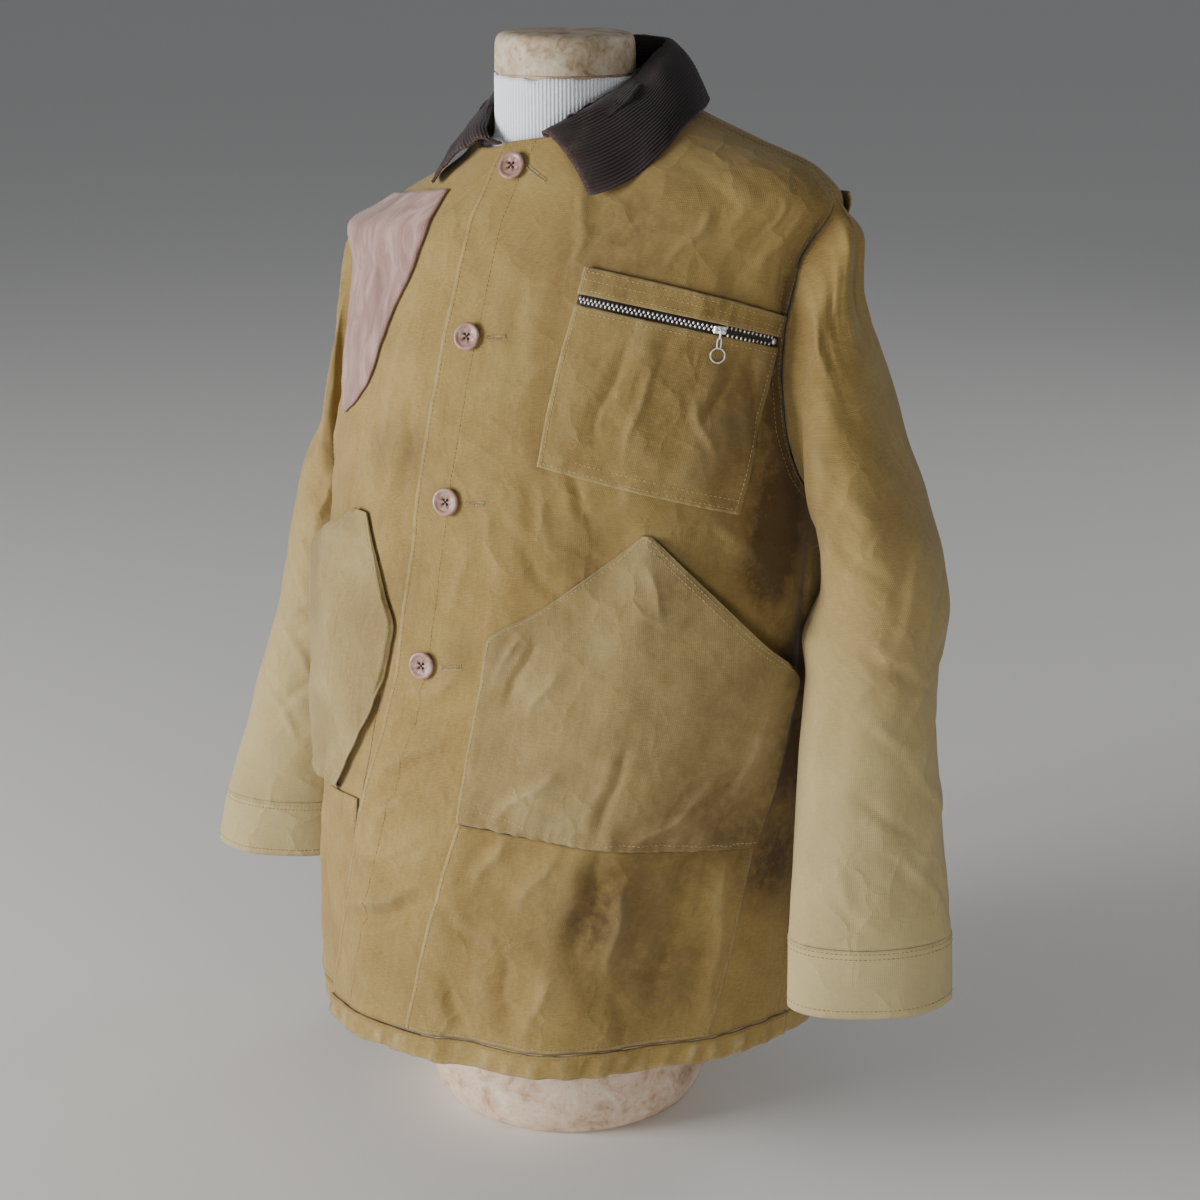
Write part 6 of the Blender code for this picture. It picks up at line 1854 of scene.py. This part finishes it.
@dataclass
class Buttons(Maker):
    """Four sewn-on buttons, with their thread and buttonholes."""

    facets: int = 48
    slopes: tuple[float, ...] = (-38.0, 6.0, 8.0, 14.0)
    hole_start: float = 0.0125
    hole_length: float = 0.015
    hole_half: float = 0.0011  # each row of the buttonhole's thread, metres from its slit
    hole_pitch: float = 0.00085
    hole_lift: float = 0.0003
    tighter: float = 1.25      # the front curves this much more than BODY_RADIUS says
    tilt: float = 12.0         # the buttons hang a little turned on their thread

    def place(self, height: float, out: float) -> Matrix:
        """Matrix with local Z along the trunk's normal and local Y up it."""
        point = self.body.point(0.0, height, out)
        along, normal = (Vector(way) for way in self.facing(0.0, height))
        turn = Matrix((along, normal.cross(along), normal)).transposed().to_4x4()
        lift = Matrix.Translation((0.0, 0.0, math.sin(math.radians(self.tilt)) * BUTTON_DIAMETER / 2))
        return Matrix.Translation(Vector(point)) @ turn @ lift @ Matrix.Rotation(math.radians(self.tilt), 4, "Y")

    def button_mesh(self, name: str) -> Mesh:
        """A turned button with a raised rim, a dished middle and four holes."""
        radius, thick = BUTTON_DIAMETER / 2, BUTTON_THICKNESS
        built = bmesh.new()
        rings = []
        for share, level in BUTTON_PROFILE:
            if share == 0.0:
                rings.append([built.verts.new((0.0, 0.0, level * thick))])
                continue
            turns = [2 * math.pi * k / self.facets for k in range(self.facets)]
            rings.append([built.verts.new((radius * share * math.cos(a), radius * share * math.sin(a), level * thick))
                          for a in turns])
        for upper, lower in zip(rings, rings[1:]):
            for k in range(self.facets):
                n = (k + 1) % self.facets
                if len(upper) == 1:
                    built.faces.new((upper[0], lower[k], lower[n]))
                elif len(lower) == 1:
                    built.faces.new((upper[n], upper[k], lower[0]))
                else:
                    built.faces.new((upper[k], lower[k], lower[n], upper[n]))
        bmesh.ops.recalc_face_normals(built, faces=built.faces)
        mesh = bpy.data.meshes.new(name)
        built.to_mesh(mesh)
        built.free()
        mesh.shade_smooth()
        return mesh

    def build(self) -> None:
        """Makes the buttons, their crosses of thread and the worked holes beside them."""
        for index, (height, slope) in enumerate(zip(BUTTON_HEIGHTS, self.slopes), start=1):
            name = f"button_{index}"
            obj = self.shop.add(name + "_turned", self.button_mesh(name), Finish.HORN)
            for hole in range(4):
                spin = math.radians(45 + 90 * hole)
                bpy.ops.mesh.primitive_cylinder_add(vertices=16, radius=BUTTON_HOLE_RADIUS, depth=0.02, location=(
                    BUTTON_HOLE_OFFSET * math.cos(spin), BUTTON_HOLE_OFFSET * math.sin(spin), 0.0))
                cutter = bpy.context.object
                cut = obj.modifiers.new("hole", "BOOLEAN")
                cut.operation, cut.object = "DIFFERENCE", cutter
                graph = bpy.context.evaluated_depsgraph_get()
                mesh = bpy.data.meshes.new_from_object(obj.evaluated_get(graph))
                obj.modifiers.clear()
                obj.data = mesh
                bpy.data.objects.remove(cutter)
            place = self.place(height, LAP_RISE + SEAM_GAP * 2)
            obj.data.transform(place)
            settle(obj, "coat_on_form", (name,))
            self.sew(place, height, slope)

    def sew(self, place: Matrix, height: float, slope: float) -> None:
        """The thread through a button's holes, with dark discs in the holes that are partly painted shade, and the
        stitched slit that it passes.
        """
        turn = place.to_3x3()
        normal = np.array(turn @ Vector((0, 0, 1)))
        middle = np.array(place @ Vector((0, 0, BUTTON_THICKNESS * 0.72)))
        for spin in (45, 135, 225, 315):
            way = turn @ Vector((math.cos(math.radians(spin)), math.sin(math.radians(spin)), 0))
            # A dark disc in each hole: partly thread, partly painted shade in the hole.
            self.threads.hole_shade_plugs.one(middle + np.array(way) * BUTTON_HOLE_OFFSET - normal * 0.0003, normal, np.array(way))
            if spin < 180:
                self.threads.crosses.one(middle + normal * 0.0002, normal, np.array(way))
        lean = math.tan(math.radians(slope))
        shares = even(12)
        gone = self.hole_start + self.hole_length * shares
        angles = np.degrees(gone / BODY_RADIUS) * self.tighter
        levels = height + lean * (gone - self.hole_start)
        points = self.body.point(angles, levels, lap_rise(angles, levels))
        normals = np.repeat(normal[None, :], len(points), axis=0)
        for offset in (-self.hole_half, self.hole_half):
            self.threads.holes.along((points, normals), self.hole_pitch, self.hole_lift, across=True, side=offset)


@dataclass
class DressForm:
    """The limbless form: torso with its flat foot, knitted neck cover and round cap."""

    shop: Workshop
    columns: int = 128
    rib_pitch: float = 0.003
    rib_depth: float = 0.0005

    def ring(self, around: Array, height: Array, out: float = 0.0) -> Array:
        """Points of the form at angles in radians and heights."""
        reach = {name: follow(FORM_RINGS, FORM_COLUMNS, name, height) + out for name in FORM_COLUMNS[1:]}
        x = reach["side"] * np.sin(around)
        y = -np.where(np.cos(around) >= 0, reach["front"], reach["back"]) * np.cos(around)
        lean = FORM_LEAN * smooth(height, 0.6, 0.74) * (1 - smooth(height, 0.8, 0.832))
        return np.stack([x, y, height + lean * x], -1)

    def build(self) -> None:
        """Makes the torso, the knit and the cap."""
        around = np.radians(np.linspace(0.0, 360.0, self.columns, endpoint=False))
        heights = np.concatenate([FORM_FOOT_LEVELS, np.linspace(0.09, 0.7, 40), np.linspace(0.71, 0.824, 24),
                                  FORM_NECK_LEVELS])
        rings = [np.stack([FOOT_FLAT_RADIUS * np.sin(around), -FOOT_FLAT_RADIUS * np.cos(around), 0 * around], -1)]
        rings += [self.ring(around, np.full(self.columns, height)) for height in heights]
        points = np.array(rings)
        rows = len(points)
        index = np.arange(rows * self.columns).reshape(rows, self.columns)
        right = np.roll(index, -1, axis=1)
        faces = np.stack([index[:-1], right[:-1], right[1:], index[1:]], -1).reshape(-1, 4).tolist()
        faces += [index[0][::-1].tolist(), index[-1].tolist()]
        mesh = bpy.data.meshes.new("form_torso_smooth")
        mesh.from_pydata(points.reshape(-1, 3).tolist(), [], faces)
        mesh.shade_smooth()
        settle(self.shop.add("form_torso_skin", mesh, Finish.MACHE), "coat_on_form", ("form_torso",))
        self.build_knit()
        self.build_cap()

    def build_knit(self) -> None:
        """The ribbed neck cover, with a wavy upper edge."""
        radius = follow(FORM_RINGS, FORM_COLUMNS, "side", 0.85) + KNIT
        ribs = int(2 * math.pi * radius / self.rib_pitch)
        count = ribs * 6
        around = np.linspace(0.0, 2 * math.pi, count, endpoint=False)
        wave = 0.5 + 0.5 * np.cos(around * ribs)
        levels, wales = [], []
        for part in even(15):
            height = KNIT_BOTTOM + (0.868 - KNIT_BOTTOM) * part
            edge = 0.0012 * ripple(around * radius, 0 * around, 0.03, 91) * smooth(part, 0.7, 1.0)
            heights = np.full(count, height) - np.abs(edge) * 1.2
            ring = self.ring(around, heights, KNIT + SEAM_GAP * 2)
            outward = unit(ring * np.array([1.0, 1.0, 0.0]))
            levels.append(ring + outward * (self.rib_depth * (wave - 0.5) + edge * 0.4)[:, None])
            wales.append(wave)
        sheet = ClothSheet("form_neck_cover", np.array(levels), KNIT, wrap=True, wale=np.array(wales), sewn=())
        make_cloth(self.shop, sheet, Finish.KNIT)

    def build_cap(self) -> None:
        """The rounded cap on the neck."""
        profile = [(0.0, CAP_TOP), (0.03, CAP_TOP - 0.0002), (0.044, CAP_TOP - 0.0006), (0.049, CAP_TOP - 0.0015),
                   (0.052, CAP_TOP - 0.0032), (0.0537, CAP_TOP - 0.0058), (0.0545, CAP_TOP - 0.0095),
                   (0.0549, CAP_TOP - 0.018), (0.055, CAP_BOTTOM + 0.0006), (0.0545, CAP_BOTTOM), (0.0, CAP_BOTTOM)]
        mesh = bpy.data.meshes.new("form_cap_turned")
        mesh.from_pydata([(r, 0.0, z) for r, z in profile], [(i, i + 1) for i in range(len(profile) - 1)], [])
        obj = self.shop.add("form_cap_turned", mesh, Finish.CAP)
        spin = obj.modifiers.new("turn", "SCREW")
        spin.steps = spin.render_steps = 72
        spin.use_merge_vertices, spin.merge_threshold, spin.use_smooth_shade = True, 0.00002, True
        graph = bpy.context.evaluated_depsgraph_get()
        turned = bpy.data.meshes.new_from_object(obj.evaluated_get(graph))
        obj.modifiers.clear()
        obj.data = turned
        settle(obj, "coat_on_form", ("form_cap",))


@dataclass(frozen=True)
class Studio:
    """The camera at the photograph's place, a plain pale floor and soft light."""

    around_deg: float = 38.0
    distance: float = 1.86
    height: float = 1.023
    pitch_deg: float = 17.46
    focal_px: float = 2341.0
    image_px: float = 1200.0
    aim_px: float = 567.5
    sensor_mm: float = 36.0

    def build(self) -> None:
        """Makes the camera, the floor and the lights."""
        self.build_camera()
        self.build_floor()
        self.build_lights()

    def build_camera(self) -> None:
        """The camera: it looks down a little, from the front on the wearer's left."""
        around, pitch = math.radians(self.around_deg), math.radians(self.pitch_deg)
        yaw = math.atan((self.image_px / 2 - self.aim_px) / self.focal_px / math.cos(pitch))
        ahead = Vector((-math.sin(around), math.cos(around), 0.0))
        right = Vector((math.cos(around), math.sin(around), 0.0))
        level = ahead * math.cos(yaw) + right * math.sin(yaw)
        forward = level * math.cos(pitch) - Vector((0.0, 0.0, math.sin(pitch)))
        data = bpy.data.cameras.new("camera")
        data.sensor_width, data.sensor_fit = self.sensor_mm, "HORIZONTAL"
        data.lens = self.sensor_mm * self.focal_px / self.image_px
        camera = bpy.data.objects.new("camera", data)
        camera.location = (self.distance * math.sin(around), -self.distance * math.cos(around), self.height)
        camera.rotation_mode = "QUATERNION"
        camera.rotation_quaternion = forward.to_track_quat("-Z", "Y")
        bpy.context.scene.collection.objects.link(camera)
        bpy.context.scene.camera = camera

    def build_floor(self) -> None:
        """A plain pale floor."""
        bpy.ops.mesh.primitive_plane_add(size=120.0)
        floor = bpy.context.object
        floor.name = "floor"
        made, _, shader = new_shader("matt_floor_paint", 0.9)
        shader.inputs["Base Color"].default_value = from_hex("#F1EFEB")
        floor.data.materials.append(made)

    def build_lights(self) -> None:
        """A large soft key from the front, a weak fill and a pale surround."""
        for name, place, size, power, aim, spread in (
                ("key", (-1.9, -2.5, 0.85), 1.4, 132.0, (0.0, 0.0, 0.5), 180.0),
                ("fill", (2.6, -1.6, 1.4), 1.8, 5.0, (0.0, 0.0, 0.5), 180.0),
                ("low_fill", (1.3, -1.9, 0.25), 0.8, 2.4, (0.37, -0.08, 0.18), 60.0),
                ("rim", (0.8, 2.6, 2.2), 1.6, 14.0, (0.0, 0.0, 0.5), 180.0)):
            data = bpy.data.lights.new(name, "AREA")
            data.size, data.energy, data.spread = size, power, math.radians(spread)
            light = bpy.data.objects.new(name, data)
            light.location = place
            light.rotation_mode = "QUATERNION"
            light.rotation_quaternion = (Vector(aim) - Vector(place)).to_track_quat("-Z", "Y")
            bpy.context.scene.collection.objects.link(light)
        world = bpy.data.worlds.new("surround")
        world.use_nodes = True
        world.node_tree.nodes["Background"].inputs["Color"].default_value = from_hex("#DADDE2")
        world.node_tree.nodes["Background"].inputs["Strength"].default_value = 0.24
        bpy.context.scene.world = world


def main() -> None:
    """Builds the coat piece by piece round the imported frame, then the studio."""
    logging.basicConfig(level=logging.INFO, format="%(message)s")
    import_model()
    shop, threads = Workshop(), Threads()
    Trunk(shop, threads).build()
    Sleeves(shop, threads).build()
    Collar(shop, threads).build()
    Patch(shop, threads).build()
    ChestPocket(shop, threads).build()
    LowerPockets(shop, threads).build()
    Buttons(shop, threads).build()
    threads.build(shop)
    DressForm(shop).build()
    Studio().build()
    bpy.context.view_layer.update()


if __name__ == "__main__":
    main()
